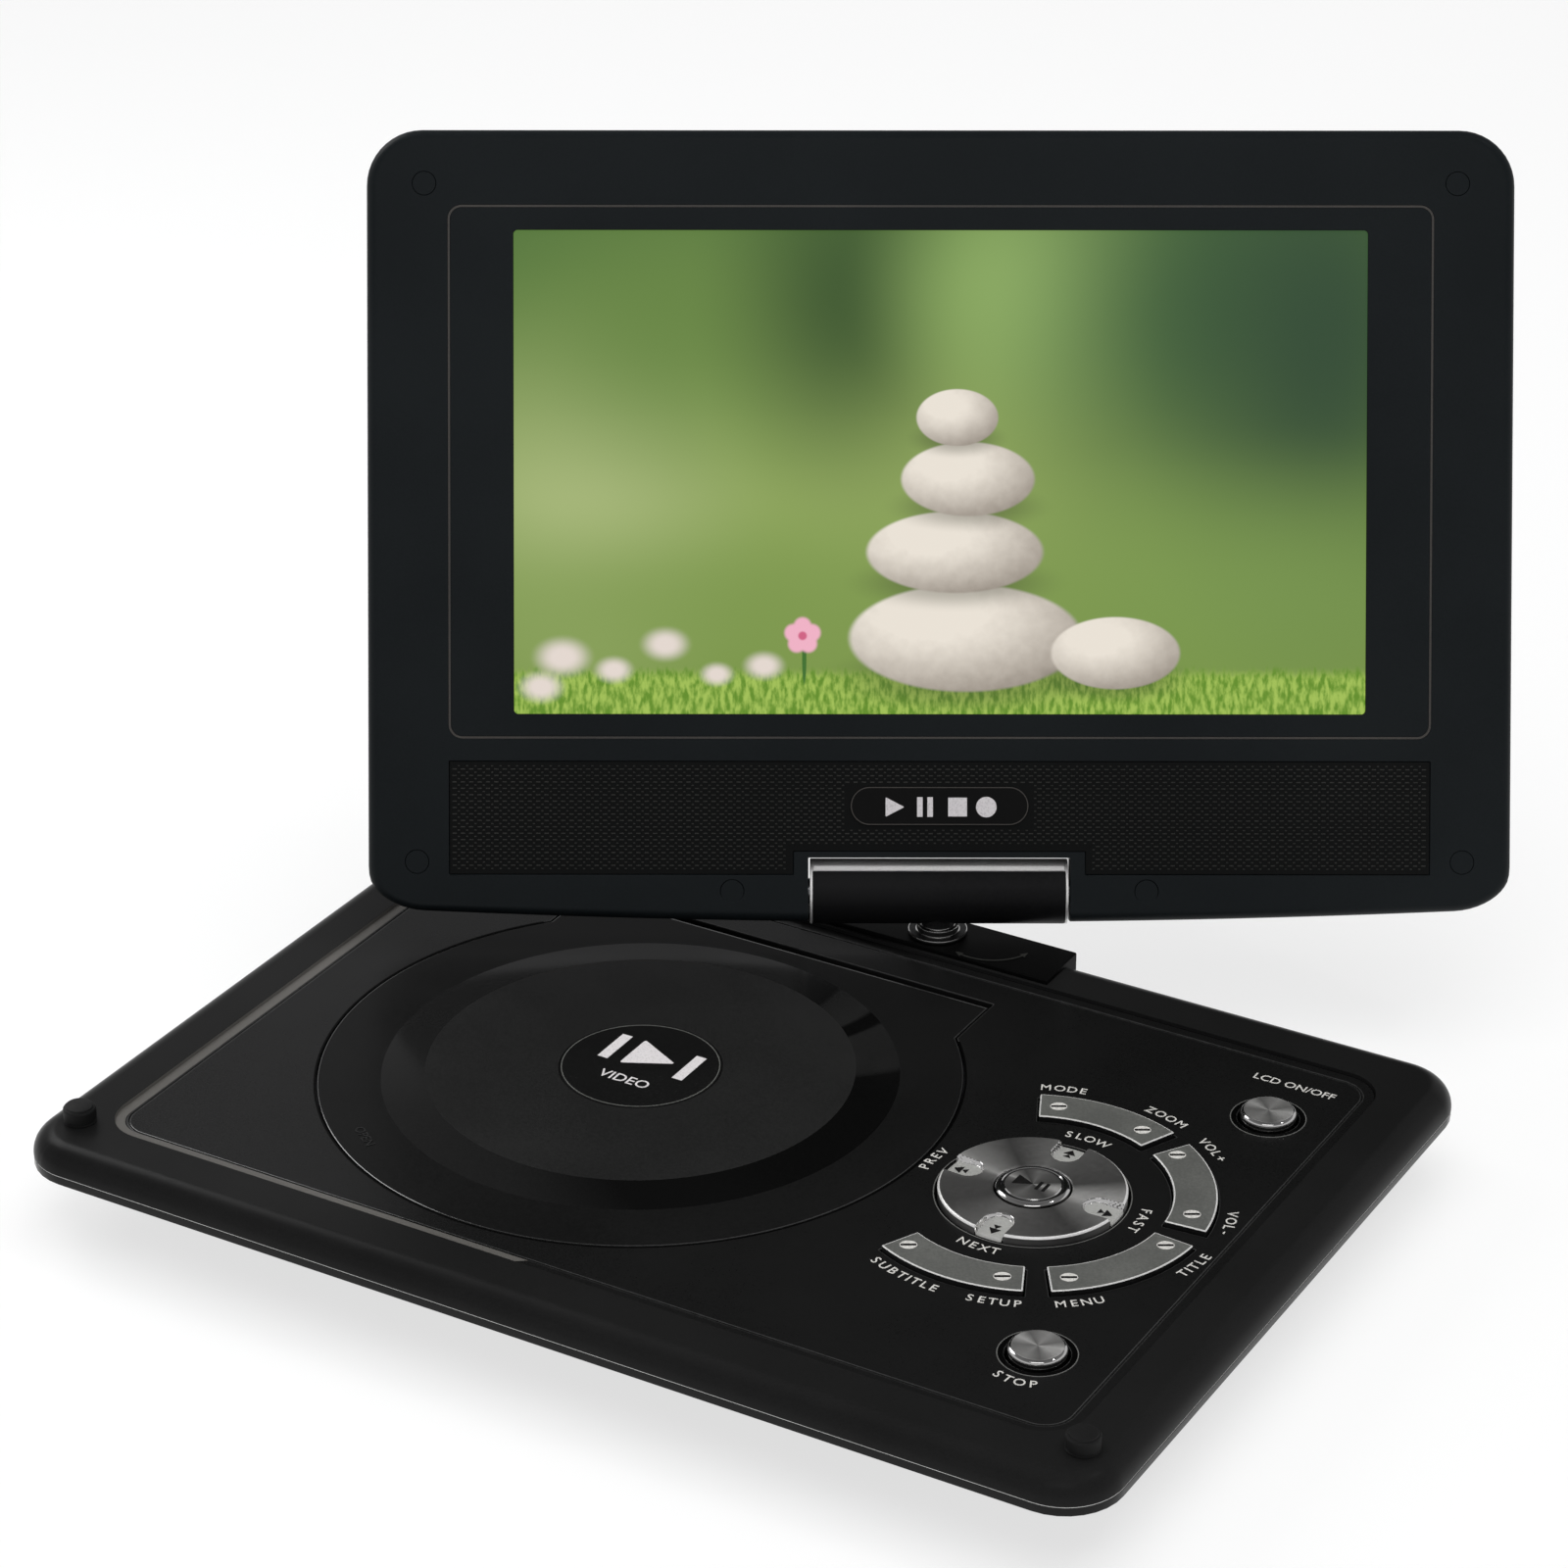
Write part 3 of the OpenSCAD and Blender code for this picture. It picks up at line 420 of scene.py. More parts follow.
# dark and light tone, roughness range, specular, then grain, depth, blotch and metallic where not usual
PLASTICS = {
    "black_satin": (18, 23, (0.26, 0.34), 0.18),
    "rim_satin": (24, 29, (0.3, 0.38), 0.08),
    # painted shade: near black for the sunk band, the door gap, the wells and the vent slots; also the
    # hatch's dark outline
    "shade_and_joint_black": (4, 6, (0.4, 0.5), 0.03),
    "badge_black": (9, 12, (0.3, 0.4), 0.1),
    "black_gloss": (6, 10, (0.1, 0.18), 0.2, 900, 4e-6),
    # lighter than the other blacks: a painted highlight on rounded edges
    "edge_gloss_highlight": (46, 58, (0.12, 0.2), 1.0, 900, 2e-6),
    "door_satin": (19, 24, (0.28, 0.36), 0.07, 1600, 6e-6),
    "door_top": (30, 36, (0.34, 0.42), 0.09, 1600, 6e-6),
    "medallion_black": (20, 25, (0.2, 0.28), 0.1, 1600, 4e-6),
    "hinge_black": ((19, 19, 20), (24, 24, 25), (0.38, 0.46), 0.08, 1200, 4e-6),
    "platform_black": (7, 10, (0.4, 0.5), 0.06),
    "lid_black": ((17, 21, 23), (22, 26, 28), (0.4, 0.5), 0.12),
    "grille_black": ((10, 11, 11), (14, 15, 15), (0.5, 0.62), 0.1),
    # lighter grey: painted highlights on small raised marks
    "raised_mark_highlight": ((34, 35, 33), (48, 48, 46), (0.45, 0.6), 0.25),
    "rubber_black": (12, 20, (0.6, 0.75), 0.3, 1500, 4e-5),
    # pale grey for the painted reflection along the panel's left side
    "strip_reflection_grey": ((88, 86, 83), (96, 94, 91), (0.34, 0.44), 0.2),
    # near white: a painted highlight along the seam
    "seam_highlight": ((196, 196, 194), (208, 208, 206), (0.3, 0.4), 0.5, 1800, 4e-6),
    # light grey for the painted highlight on the rims of the wells
    "rim_highlight_line": ((92, 92, 91), (104, 104, 102), (0.3, 0.4), 0.4, 1800, 4e-6),
    "frame_grey": ((56, 54, 52), (66, 63, 60), (0.4, 0.5), 0.3),
    "chassis_grey": ((34, 34, 36), (46, 46, 48), (0.4, 0.55), 0.4),
    "latch_nylon": ((200, 198, 190), (216, 214, 206), (0.4, 0.5), 0.4),
    "cell_blue": ((30, 58, 120), (44, 74, 140), (0.25, 0.4), 0.5),
    "jack_black": (10, 20, (0.35, 0.5), 0.4),
    "jack_yellow": ((190, 160, 30), (214, 184, 50), (0.35, 0.5), 0.4),
    "hub_white": ((206, 206, 204), (222, 222, 220), (0.35, 0.45), 0.4),
    "sheet_white": ((214, 214, 216), (228, 228, 230), (0.5, 0.6), 0.4),
    "speaker_black": (22, 34, (0.5, 0.7), 0.4),
    "lens_glass": ((60, 84, 140), (84, 110, 170), (0.04, 0.08), 0.8),
    "screen_glass": ((14, 15, 16), (18, 19, 20), (0.1, 0.16), 0.4),
    "key_metal": ((130, 131, 128), (146, 147, 143), (0.3, 0.42), 0.5, 1800, 8e-6, 60, 0.6),
    # near white: painted highlights on bright metal edges and the hinge's chrome strip
    "metal_highlight_white": ((232, 231, 229), (244, 243, 242), (0.3, 0.4), 0.5, 1800, 4e-6, 22, 0.35),
    # pale for the painted reflection in the scoop floors
    "scoop_reflection": ((164, 164, 161), (178, 178, 175), (0.42, 0.5), 0.5, 1800, 1e-6, 22, 0.2),
}

# (base colour, lowest roughness)
METALS = {
    "machine_steel": ((0.56, 0.56, 0.58), 0.24),
    "motor_steel": ((0.5, 0.5, 0.5), 0.3),
    "screw_steel": ((0.5, 0.5, 0.52), 0.22),
    "screw_brass": ((0.7, 0.52, 0.2), 0.24),
    "shell_steel": ((0.6, 0.6, 0.62), 0.22),
    "chrome": ((0.86, 0.85, 0.84), 0.05),
}

# (full tone, worn tone)
INKS = {
    "white_ink": ((214, 212, 208), (170, 168, 164)),
    "silver_ink": ((222, 218, 220), (196, 192, 194)),
    "dark_ink": ((16, 15, 15), (26, 25, 25)),
}

MATS = {name: moulded(name, *look) for name, look in PLASTICS.items()}
MATS |= {name: bright_metal(name, *look) for name, look in METALS.items()}
MATS |= {name: ink(name, *look) for name, look in INKS.items()}
MATS |= {
    "board_green": board("board_green"),
    "picture": picture_material(),
    "door_ring_reflection": glossy_slope("door_ring_reflection", centre("door_medallion"), RING_REFLECTION_TONES, RING_TWIST),
    "wheel_metal": spun("wheel_metal", centre("nav_wheel"), SHEEN_SECTORS),
    "stop_metal": spun("stop_metal", centre("stop_button"), BUTTON_SHEEN_SECTORS),
    "screen_metal": spun("screen_metal", centre("screen_button"), BUTTON_SHEEN_SECTORS),
}


# ---- mesh helpers ----

def finish_mesh(name, mesh, body, materials, crease=32.0):
    obj = bpy.data.objects.new(name, mesh)
    bpy.context.scene.collection.objects.link(obj)
    for m in materials:
        mesh.materials.append(MATS[m])
    mesh.shade_smooth()
    mesh.set_sharp_from_angle(angle=math.radians(crease))
    weigh = obj.modifiers.new("even_normals", "WEIGHTED_NORMAL")
    weigh.keep_sharp = True
    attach(obj, body)
    return obj


def from_bmesh(name, bm, body, materials, crease=32.0):
    mesh = bpy.data.meshes.new(name)
    bmesh.ops.recalc_face_normals(bm, faces=bm.faces)
    bm.to_mesh(mesh)
    bm.free()
    return finish_mesh(name, mesh, body, materials, crease)


def from_points(name, points, faces, place, body, materials, crease=32.0):
    bm = bmesh.new()
    verts = [bm.verts.new(place @ Vector(p)) for p in points]
    for f in faces:
        bm.faces.new([verts[i] for i in f])
    return from_bmesh(name, bm, body, materials, crease)


def shell_of(node):
    """The node's mesh as whole flat faces, ready to be rounded."""
    data = frame["nodes"][node].data
    bm = bmesh.new()
    verts = [bm.verts.new(v.co) for v in data.vertices]
    for p in data.polygons:
        bm.faces.new([verts[i] for i in p.vertices])
    bmesh.ops.remove_doubles(bm, verts=bm.verts, dist=1e-6)
    bmesh.ops.dissolve_degenerate(bm, edges=bm.edges, dist=1e-6)
    bmesh.ops.dissolve_limit(bm, angle_limit=math.radians(0.06), verts=bm.verts, edges=bm.edges)
    return bm


def round_edges(bm, width, segments=2, above=28.0):
    """Rounds every edge whose faces meet at more than the given angle."""
    sharp = [e for e in bm.edges if e.is_manifold and e.calc_face_angle(0.0) > math.radians(above)]
    bmesh.ops.bevel(bm, geom=sharp, offset=width * MM, segments=segments, profile=0.6,
        affect="EDGES", offset_type="OFFSET", clamp_overlap=False, miter_outer="ARC")


def softened(node, name, body, slot, width=0.2, segments=2, mats=None, pick=None, crease=32.0):
    """A copy of a CAD node with its edges rounded; pick names each face's material."""
    bm = shell_of(node)
    round_edges(bm, width, segments)
    if pick:
        for f in bm.faces:
            f.material_index = mats.index(pick(f))
    obj = from_bmesh(name, bm, body, mats or [slot], crease)
    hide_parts(node)
    return obj


def ring_faces(row, after, steps):
    """The faces between two rings of points."""
    faces = []
    for k in range(steps):
        n = (k + 1) % steps
        faces.append((row * steps + k, row * steps + n, after * steps + n, after * steps + k))
    return faces


def lathe(name, profile, place, body, materials, steps=128, zones=None):
    """Turns (radius, height) points about the vertical; zones names each band's material."""
    bm = bmesh.new()
    verts = []
    for r, z in profile:
        for k in range(steps):
            x, y = on_circle(r, 2 * math.pi * k / steps)
            verts.append(bm.verts.new(place @ Vector((x, y, z))))
    for row in range(len(profile) - 1):
        band = materials.index(zones[row]) if zones else 0
        for f in ring_faces(row, row + 1, steps):
            bm.faces.new([verts[i] for i in f]).material_index = band
    bmesh.ops.remove_doubles(bm, verts=bm.verts, dist=1e-7)
    bmesh.ops.dissolve_degenerate(bm, edges=bm.edges, dist=1e-7)
    return from_bmesh(name, bm, body, materials)


def drops(top, low, steps):
    """A lathe profile of (radius, drop from the top) steps, closed straight down to its foot."""
    return [(r, top - drop) for r, drop in steps] + [(steps[-1][0], low), (0, low)]


def prism(outline, low, high):
    """Points and faces of an upright prism over a closed outline."""
    n = len(outline)
    points = [(x, y, low) for x, y in outline] + [(x, y, high) for x, y in outline]
    faces = [tuple(range(n - 1, -1, -1)), tuple(range(n, 2 * n))]
    faces += [(i, (i + 1) % n, n + (i + 1) % n, n + i) for i in range(n)]
    return points, faces


def prisms(outlines, low, high):
    return [prism(outline, low, high) for outline in outlines]


def several(name, parts, place, body, materials):
    """One piece from several (points, faces) parts."""
    points, faces = [], []
    for p, f in parts:
        start = len(points)
        points += p
        faces += [tuple(start + i for i in face) for face in f]
    return from_points(name, points, faces, place, body, materials)


def turned(cx, cy, x, y, turn):
    """The offset (x, y) turned about a centre."""
    return cx + x * math.cos(turn) - y * math.sin(turn), cy + x * math.sin(turn) + y * math.cos(turn)


def oval(cx, cy, rx, ry, turn=0.0, steps=32):
    angles = [2 * math.pi * k / steps for k in range(steps)]
    return [turned(cx, cy, rx * math.cos(a), ry * math.sin(a), turn) for a in angles]


def bar(cx, cy, w, h, turn=0.0):
    corners = ((-w, -h), (w, -h), (w, h), (-w, h))
    return [turned(cx, cy, x / 2, y / 2, turn) for x, y in corners]


def round_rect(w, d, r, steps=10):
    out = []
    for sx, sy, start in ((1, 1, 0), (-1, 1, 90), (-1, -1, 180), (1, -1, 270)):
        for k in range(steps + 1):
            a = math.radians(start + 90 * k / steps)
            out.append(on_circle(r, a, sx * (w / 2 - r), sy * (d / 2 - r)))
    return out


def stadium(half, r, y, steps=24):
    """A bar with round ends, its ends' centres at half to either side."""
    out = []
    for side, start in ((1, -90), (-1, 90)):
        for k in range(steps + 1):
            out.append(on_circle(r, math.radians(start + 180 * k / steps), side * half, y))
    return out


def rounded_polygon(corners, r, steps=6):
    """A polygon whose corners are cut back by r and rounded."""
    out, n = [], len(corners)
    for i, c in enumerate(corners):
        here, before, after = Vector(c), Vector(corners[i - 1]), Vector(corners[(i + 1) % n])
        a = here + (before - here).normalized() * r
        b = here + (after - here).normalized() * r
        for k in range(steps + 1):
            f = k / steps
            p = a.lerp(here, f).lerp(here.lerp(b, f), f)
            out.append((p.x, p.y))
    return out


def ring_strip(outer, inner, low, high):
    """A closed strip between two outlines with the same number of points."""
    n = len(outer)
    points = [(x, y, low) for x, y in outer] + [(x, y, low) for x, y in inner]
    points += [(x, y, high) for x, y in outer] + [(x, y, high) for x, y in inner]
    faces = []
    for i in range(n):
        j = (i + 1) % n
        faces += [(2 * n + i, 2 * n + j, 3 * n + j, 3 * n + i), (i, n + i, n + j, j)]
        faces += [(i, j, 2 * n + j, 2 * n + i), (n + i, 3 * n + i, 3 * n + j, n + j)]
    return points, faces


# ---- letters ----

LETTER_BOLD = 0.02
LETTER_SPACE = 3.6
LETTER_HEIGHT = 2.5
# widths as a share of LETTER_SPACE; the other letters take PLAIN_WIDTH
WIDTHS = {"I": 0.34, "M": 0.92, "N": 0.8, "O": 0.82, "W": 1.0, "L": 0.6, "E": 0.66, "T": 0.66}
PLAIN_WIDTH = 0.74


def letter_mesh(text, size, thick):
    curve = bpy.data.curves.new("glyph", "FONT")
    curve.body = text
    curve.size = size
    curve.align_x = "CENTER"
    curve.extrude = thick / 2
    curve.offset = LETTER_BOLD
    curve.resolution_u = 3
    obj = bpy.data.objects.new("glyph", curve)
    bpy.context.scene.collection.objects.link(obj)
    deps = bpy.context.evaluated_depsgraph_get()
    mesh = bpy.data.meshes.new_from_object(obj.evaluated_get(deps))
    bpy.data.objects.remove(obj)
    bpy.data.curves.remove(curve)
    return mesh


def lettering(name, items, place, z, body, ink_name, size, thick=0.04):
    """Printed letters; each item is (text, x, y, angle) in millimetres and degrees."""
    bm = bmesh.new()
    for text, x, y, angle in items:
        mesh = letter_mesh(text, size, thick)
        spot = Matrix.Translation((x, y, z)) @ Matrix.Rotation(math.radians(angle), 4, "Z")
        mesh.transform(place @ spot)
        bm.from_mesh(mesh)
        bpy.data.meshes.remove(mesh)
    mesh = bpy.data.meshes.new(name)
    bm.to_mesh(mesh)
    bm.free()
    return finish_mesh(name, mesh, body, [ink_name])


def around(text, radius, middle, outward):
    """Letters set on an arc about the origin, their tops outward or inward."""
    steps = [WIDTHS.get(c, PLAIN_WIDTH) * LETTER_SPACE for c in text]
    total = sum(steps)
    base = radius - LETTER_HEIGHT / 2 if outward else radius + LETTER_HEIGHT / 2
    items, run = [], 0.0
    for c, w in zip(text, steps):
        along = math.degrees((run + w / 2 - total / 2) / radius)
        angle = middle - along if outward else middle + along
        x, y = on_circle(base, math.radians(angle))
        items.append((c, x, y, angle - 90 if outward else angle + 90))
        run += w
    return items


# ---- base ----

PANEL_X, PANEL_Y = 116.6, 76.3
STRIP_X, STRIP_Y = 118.7, 78.35
STRIP_HALF = 1.4
STRIP_FRONT, STRIP_BACK = -11.0, -60.0
SEAM_Z = 19.0
# the plain top, a painted highlight on the panel's rounded edges, the rim, painted shade in the sunk band,
# a painted reflection on its left wall and a painted highlight on the seam
SHELL_LOOKS = ["black_satin", "edge_gloss_highlight", "rim_satin", "shade_and_joint_black", "strip_reflection_grey", "seam_highlight"]


def beyond_panel(vert):
    return abs(vert.co.x) / MM > PANEL_X + 0.2 or abs(vert.co.y) / MM > PANEL_Y + 0.2


def within(x, y, margin):
    """Whether a place is on the panel, or outside it by less than the margin."""
    return abs(x) < PANEL_X + margin and abs(y) < PANEL_Y + margin


def shell_zone(f):
    """The look of a face of the top cover."""
    x, y, level = f.calc_center_median() / MM
    slanted = 0.15 < abs(f.normal.z) < 0.99
    # painted highlight: the panel's rounded edges get a lighter glossy black
    if slanted and within(x, y, 1.5) and DECK_Z - 0.4 < level < DECK_Z - 0.002:
        return "edge_gloss_highlight"
    # painted highlight: a near-white line on the seam's rounded edge
    if slanted and SEAM_Z - 0.1 < level < SEAM_Z + 0.3:
        return "seam_highlight"
    # painted reflection: the rim's left inner wall takes the pale strip's grey
    if x < -PANEL_X and level > DECK_Z + 0.05 and f.normal.x > 0.3:
        return "strip_reflection_grey"
    # painted shade: the sunk band round the panel is coloured near black
    if all(beyond_panel(v) for v in f.verts):
        sunk = DECK_Z - 0.6 < level < DECK_Z + 0.05
        return "shade_and_joint_black" if sunk and within(x, y, 3.6) else "rim_satin"
    return "black_satin"


def top_shell():
    softened("top_cover", "base_top_shell", "base", "black_satin", 0.22, 2, SHELL_LOOKS, shell_zone)
    softened("bottom_cover", "base_lower_shell", "base", "black_gloss", 0.25)
    softened("hinge_platform", "hinge_platform_shell", "base", "black_satin", 0.5, 3, ["platform_black"])
    turn_mark()


TURN_CENTRE = (12.2, 92.6)
TURN_R = 11.4
TURN_HALF = 0.22


def turn_mark():
    """The small raised arc with arrowheads that shows which way the lid turns."""
    top = top_of("hinge_platform")
    angles = [math.radians(-101 + 77 * k / 24) for k in range(25)]
    outer = [on_circle(TURN_R + TURN_HALF, a, *TURN_CENTRE) for a in angles]
    inner = [on_circle(TURN_R - TURN_HALF, a, *TURN_CENTRE) for a in angles]
    shapes = [outer + inner[::-1]]
    for a, side in ((angles[0], -1), (angles[-1], 1)):
        tip = a + side * 1.9 / TURN_R
        corners = ((TURN_R + 0.9, a), (TURN_R - 0.9, a), (TURN_R, tip))
        shapes.append([on_circle(r, t, *TURN_CENTRE) for r, t in corners])
    parts = prisms(shapes, top - 0.02, top + 0.1)
    # the lighter grey of a painted highlight on the raised mark
    several("turn_mark", parts, WORLD, "base", ["raised_mark_highlight"])


def reflection_strip():
    """A pale strip of painted reflection along the left side of the panel, cut at a slant where it ends in
    front.
    """
    out, into = STRIP_Y + STRIP_HALF, STRIP_Y - STRIP_HALF
    outer = round_rect(2 * (STRIP_X + STRIP_HALF), 2 * out, 8.4, 12)
    inner = round_rect(2 * (STRIP_X - STRIP_HALF), 2 * into, 6.4, 12)
    keep = [i for i, (x, y) in enumerate(outer) if x < 0]
    path_out = [(STRIP_BACK, out)] + [outer[i] for i in keep] + [(STRIP_FRONT - 1.5, -out)]
    path_in = [(STRIP_BACK + 3, into)] + [inner[i] for i in keep] + [(STRIP_FRONT + 2.5, -into)]
    strip = prism(path_out + path_in[::-1], DECK_Z - 0.05, DECK_Z + 0.08)
    several("reflection_strip", [strip], WORLD, "base", ["strip_reflection_grey"])


BUMPER_R = 3.65


def bumpers():
    profile = [(0, 4.1), (2.5, 4.1), (3.0, 3.95), (3.1, 3.6), (3.45, 3.5), (BUMPER_R, 3.2),
        (BUMPER_R, 0.9), (3.5, 0.8), (3.5, 0.5), (BUMPER_R, 0.4), (BUMPER_R, 0.0), (0, 0.0)]
    low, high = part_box("rubber_bumpers")
    for name, x in (("bumper_left", low.x / MM + BUMPER_R), ("bumper_right", high.x / MM - BUMPER_R)):
        spot = Matrix.Translation((x, (low.y + high.y) / 2 / MM, low.z / MM))
        obj = lathe(name, profile, WORLD @ spot, "base", ["rubber_black"], 64)
        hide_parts("rubber_bumpers")


def feet_and_screws():
    paint("rubber_feet", "rubber_black")
    paint("base_screws", "screw_steel")


VENT_X, VENT_PITCH = -40.0, 4.0
VENT_SIZE = (26.0, 1.8)
HATCH_X = 34.0
HATCH_SIZE = (96.0, 70.0, 4.0)


def underside():
    """Vent slots, flat dark pieces of painted shade in place of openings, and the outline of the battery
    hatch on the flat bottom.
    """
    flat = low_of("bottom_cover")
    low, high = flat - 0.04, flat + 0.2
    slots = [bar(VENT_X, VENT_PITCH * k, *VENT_SIZE) for k in range(-4, 5)]
    several("vent_slots", prisms(slots, low, high), WORLD, "base", ["shade_and_joint_black"])
    w, d, r = HATCH_SIZE
    edges = [round_rect(w - inset, d - inset, r - inset / 2) for inset in (0.0, 1.0)]
    outer, inner = [[(x + HATCH_X, y) for x, y in edge] for edge in edges]
    line = ring_strip(outer, inner, low, high)
    several("hatch_line", [line], WORLD, "base", ["shade_and_joint_black"])


def paint(node, name):
    """Gives a CAD node that stays as it is one of the materials."""
    data = frame["nodes"][node].data
    data.materials.clear()
    data.materials.append(MATS[name])


# ---- disc door ----

# the flat part, the sloped ring with its painted reflection, the rounded rim with its painted highlight
# and the raised middle
DOOR_LOOKS = ["door_satin", "door_ring_reflection", "edge_gloss_highlight", "door_top"]
# the painted shadow round the door's opening: its outer and inner radius, then its arc in degrees
DOOR_GAP_SHADE = (73.45, 73.0)
DOOR_ARC = (140, 400)


def door_zone(f):
    """The look of a face of the door."""
    p = DISC.inverted() @ f.calc_center_median()
    r = p.xy.length
    if 48.6 < r < 58.4 and p.z > DECK_Z + 0.05:
        return "door_ring_reflection"
    # painted highlight: the door's rounded edge by the opening is a lighter glossy black
    if r > 54.0 and DECK_Z - 0.4 < p.z < DECK_Z - 0.002 and 0.15 < f.normal.z < 0.99:
        return "edge_gloss_highlight"
    return "door_top" if p.z > DECK_Z + 0.5 else "door_satin"


def door():
    softened("disc_door", "disc_door_lid", "door", "black_satin", 0.2, 2, DOOR_LOOKS, door_zone, 5.0)
    medallion()
    mark = [("OPEN", -38.2, -55.6, -36)]
    lettering("open_mark", mark, DISC, DECK_Z + 0.03, "door", "jack_black", 3.2, 0.16)
    paint("door_latch", "latch_nylon")


def medallion():
    """The disc in the middle of the door, with its ring, emblem and word."""
    top = top_of("door_medallion")
    steps = [(0, 0), (17.2, 0), (17.7, 0.03), (18.0, 0.16), (18.3, 0.16), (18.4, 0.3)]
    profile = drops(top, top - 0.6, steps)
    disc = lathe("medallion", profile, DISC, "door", ["medallion_black"])
    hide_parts("door_medallion")
    circles = [oval(0, 0, r, r, steps=128) for r in (17.95, 17.7)]
    ring = ring_strip(*circles, top - 0.1, top + 0.02)
    several("medallion_ring", [ring], DISC, "door", ["key_metal"])
    arrow = rounded_polygon([(-4.8, -1.4), (6.4, 4.3), (-4.8, 10.0)], 0.9)
    parts = prisms([arrow, bar(-9.4, 4.3, 2.6, 11.0), bar(10.2, 4.3, 2.6, 11.0)], top, top + 0.06)
    several("medallion_emblem", parts, DISC, "door", ["silver_ink"])
    word = [("VIDEO", 0.0, -8.4, 0)]
    lettering("medallion_word", word, DISC, top + 0.02, "door", "silver_ink", 4.4)


def door_gap_shade():
    """A painted shadow along the edge of the opening round the round part of the door."""
    first, last = DOOR_ARC
    turns = [math.radians(first + (last - first) * k / 120) for k in range(121)]
    outer, inner = [[on_circle(r, a) for a in turns] for r in DOOR_GAP_SHADE]
    gap_shade = prism(outer + inner[::-1], DECK_Z - 0.02, DECK_Z + 0.03)
    several("door_gap_shade", [gap_shade], DISC, "base", ["shade_and_joint_black"])


# ---- controls ----

WHEEL_TOP = top_of("nav_wheel")
WHEEL_R = (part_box("nav_wheel")[1].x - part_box("nav_wheel")[0].x) / 2 / MM
WHEEL_HOLE = 8.6
WHEEL_STEPS = 640
WHEEL_LOOKS = ["wheel_metal", "chrome", "scoop_reflection", "metal_highlight_white"]
SCOOP_X, SCOOP_R = 15.8, 3.5


def from_scoop(r, a):
    """How far out a place is along the nearest scoop, and how far it is from the scoop's middle."""
    near = (a + math.pi / 4) % (math.pi / 2) - math.pi / 4
    x, y = on_circle(r, near)
    return x, math.hypot(max(0.0, SCOOP_X - x), y)


def wheel_height(r, a):
    """A shallow dish with soft edges, and the four scoops."""
    z = WHEEL_TOP - 0.25 + 0.25 * ((r - WHEEL_HOLE) / (WHEEL_R - WHEEL_HOLE)) ** 2
    z -= 0.18 * max(0.0, (WHEEL_HOLE + 0.3 - r) / 0.3)
    z -= 0.55 * max(0.0, (r - WHEEL_R + 0.75) / 0.75) ** 2
    x, away = from_scoop(r, a)
    inside = max(0.0, min(1.0, (SCOOP_R - away) / 0.55))
    depth = inside * inside * (3 - 2 * inside)
    fall = 0.75 + 0.85 * max(0.0, min(1.0, (x - 12.2) / 8.0))
    return z - depth * fall


def wheel_zone(p):
    """The look of a place on the wheel: scoop floor with a painted reflection, scoop wall, rounded rim
    with a painted highlight, or turned face.
    """
    r = p.xy.length
    away = from_scoop(r, math.atan2(p.y, p.x))[1]
    if away < SCOOP_R - 0.5:
        return "scoop_reflection"
    if away < SCOOP_R:
        return "chrome"
    return "metal_highlight_white" if WHEEL_R - 0.45 < r < WHEEL_R - 0.02 else "wheel_metal"


def wheel():
    """A dished metal disc with four thumb scoops open to its rim."""
    radii = [WHEEL_HOLE, WHEEL_HOLE + 0.12, WHEEL_HOLE + 0.3] + [9.2 + 0.6 * k for k in range(4)]
    radii += [11.6 + 0.17 * k for k in range(49)]
    radii += [WHEEL_R - 0.75, WHEEL_R - 0.5, WHEEL_R - 0.25, WHEEL_R - 0.08, WHEEL_R]
    turns = [2 * math.pi * k / WHEEL_STEPS for k in range(WHEEL_STEPS)]
    points = [(*on_circle(r, a), wheel_height(r, a)) for r in radii for a in turns]
    points += [(*on_circle(r, a), low_of("nav_wheel")) for r in (WHEEL_R, WHEEL_HOLE) for a in turns]
    rows = len(radii) + 2
    bm = bmesh.new()
    verts = [bm.verts.new(WHEEL @ Vector(p)) for p in points]
    back = WHEEL.inverted()
    for row in range(rows):
        for f in ring_faces(row, (row + 1) % rows, WHEEL_STEPS):
            face = bm.faces.new([verts[i] for i in f])
            face.material_index = WHEEL_LOOKS.index(wheel_zone(back @ face.calc_center_median()))
    obj = from_bmesh("control_wheel", bm, "wheel", WHEEL_LOOKS, 50)
    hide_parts("nav_wheel")
    scoop_marks()


def scoop_marks():
    """A small pair of arrowheads on the floor of each scoop."""
    z = WHEEL_TOP - 1.8
    shapes = []
    for quarter in range(4):
        turn = Matrix.Rotation(math.radians(90 * quarter), 2)
        for shift in (0.0, 1.9):
            tip = [(15.4 + shift, -1.35), (17.2 + shift, 0.0), (15.4 + shift, 1.35)]
            shapes.append([tuple(turn @ Vector(p)) for p in tip])
    several("scoop_marks", prisms(shapes, z, z + 0.5), WHEEL, "wheel", ["dark_ink"])


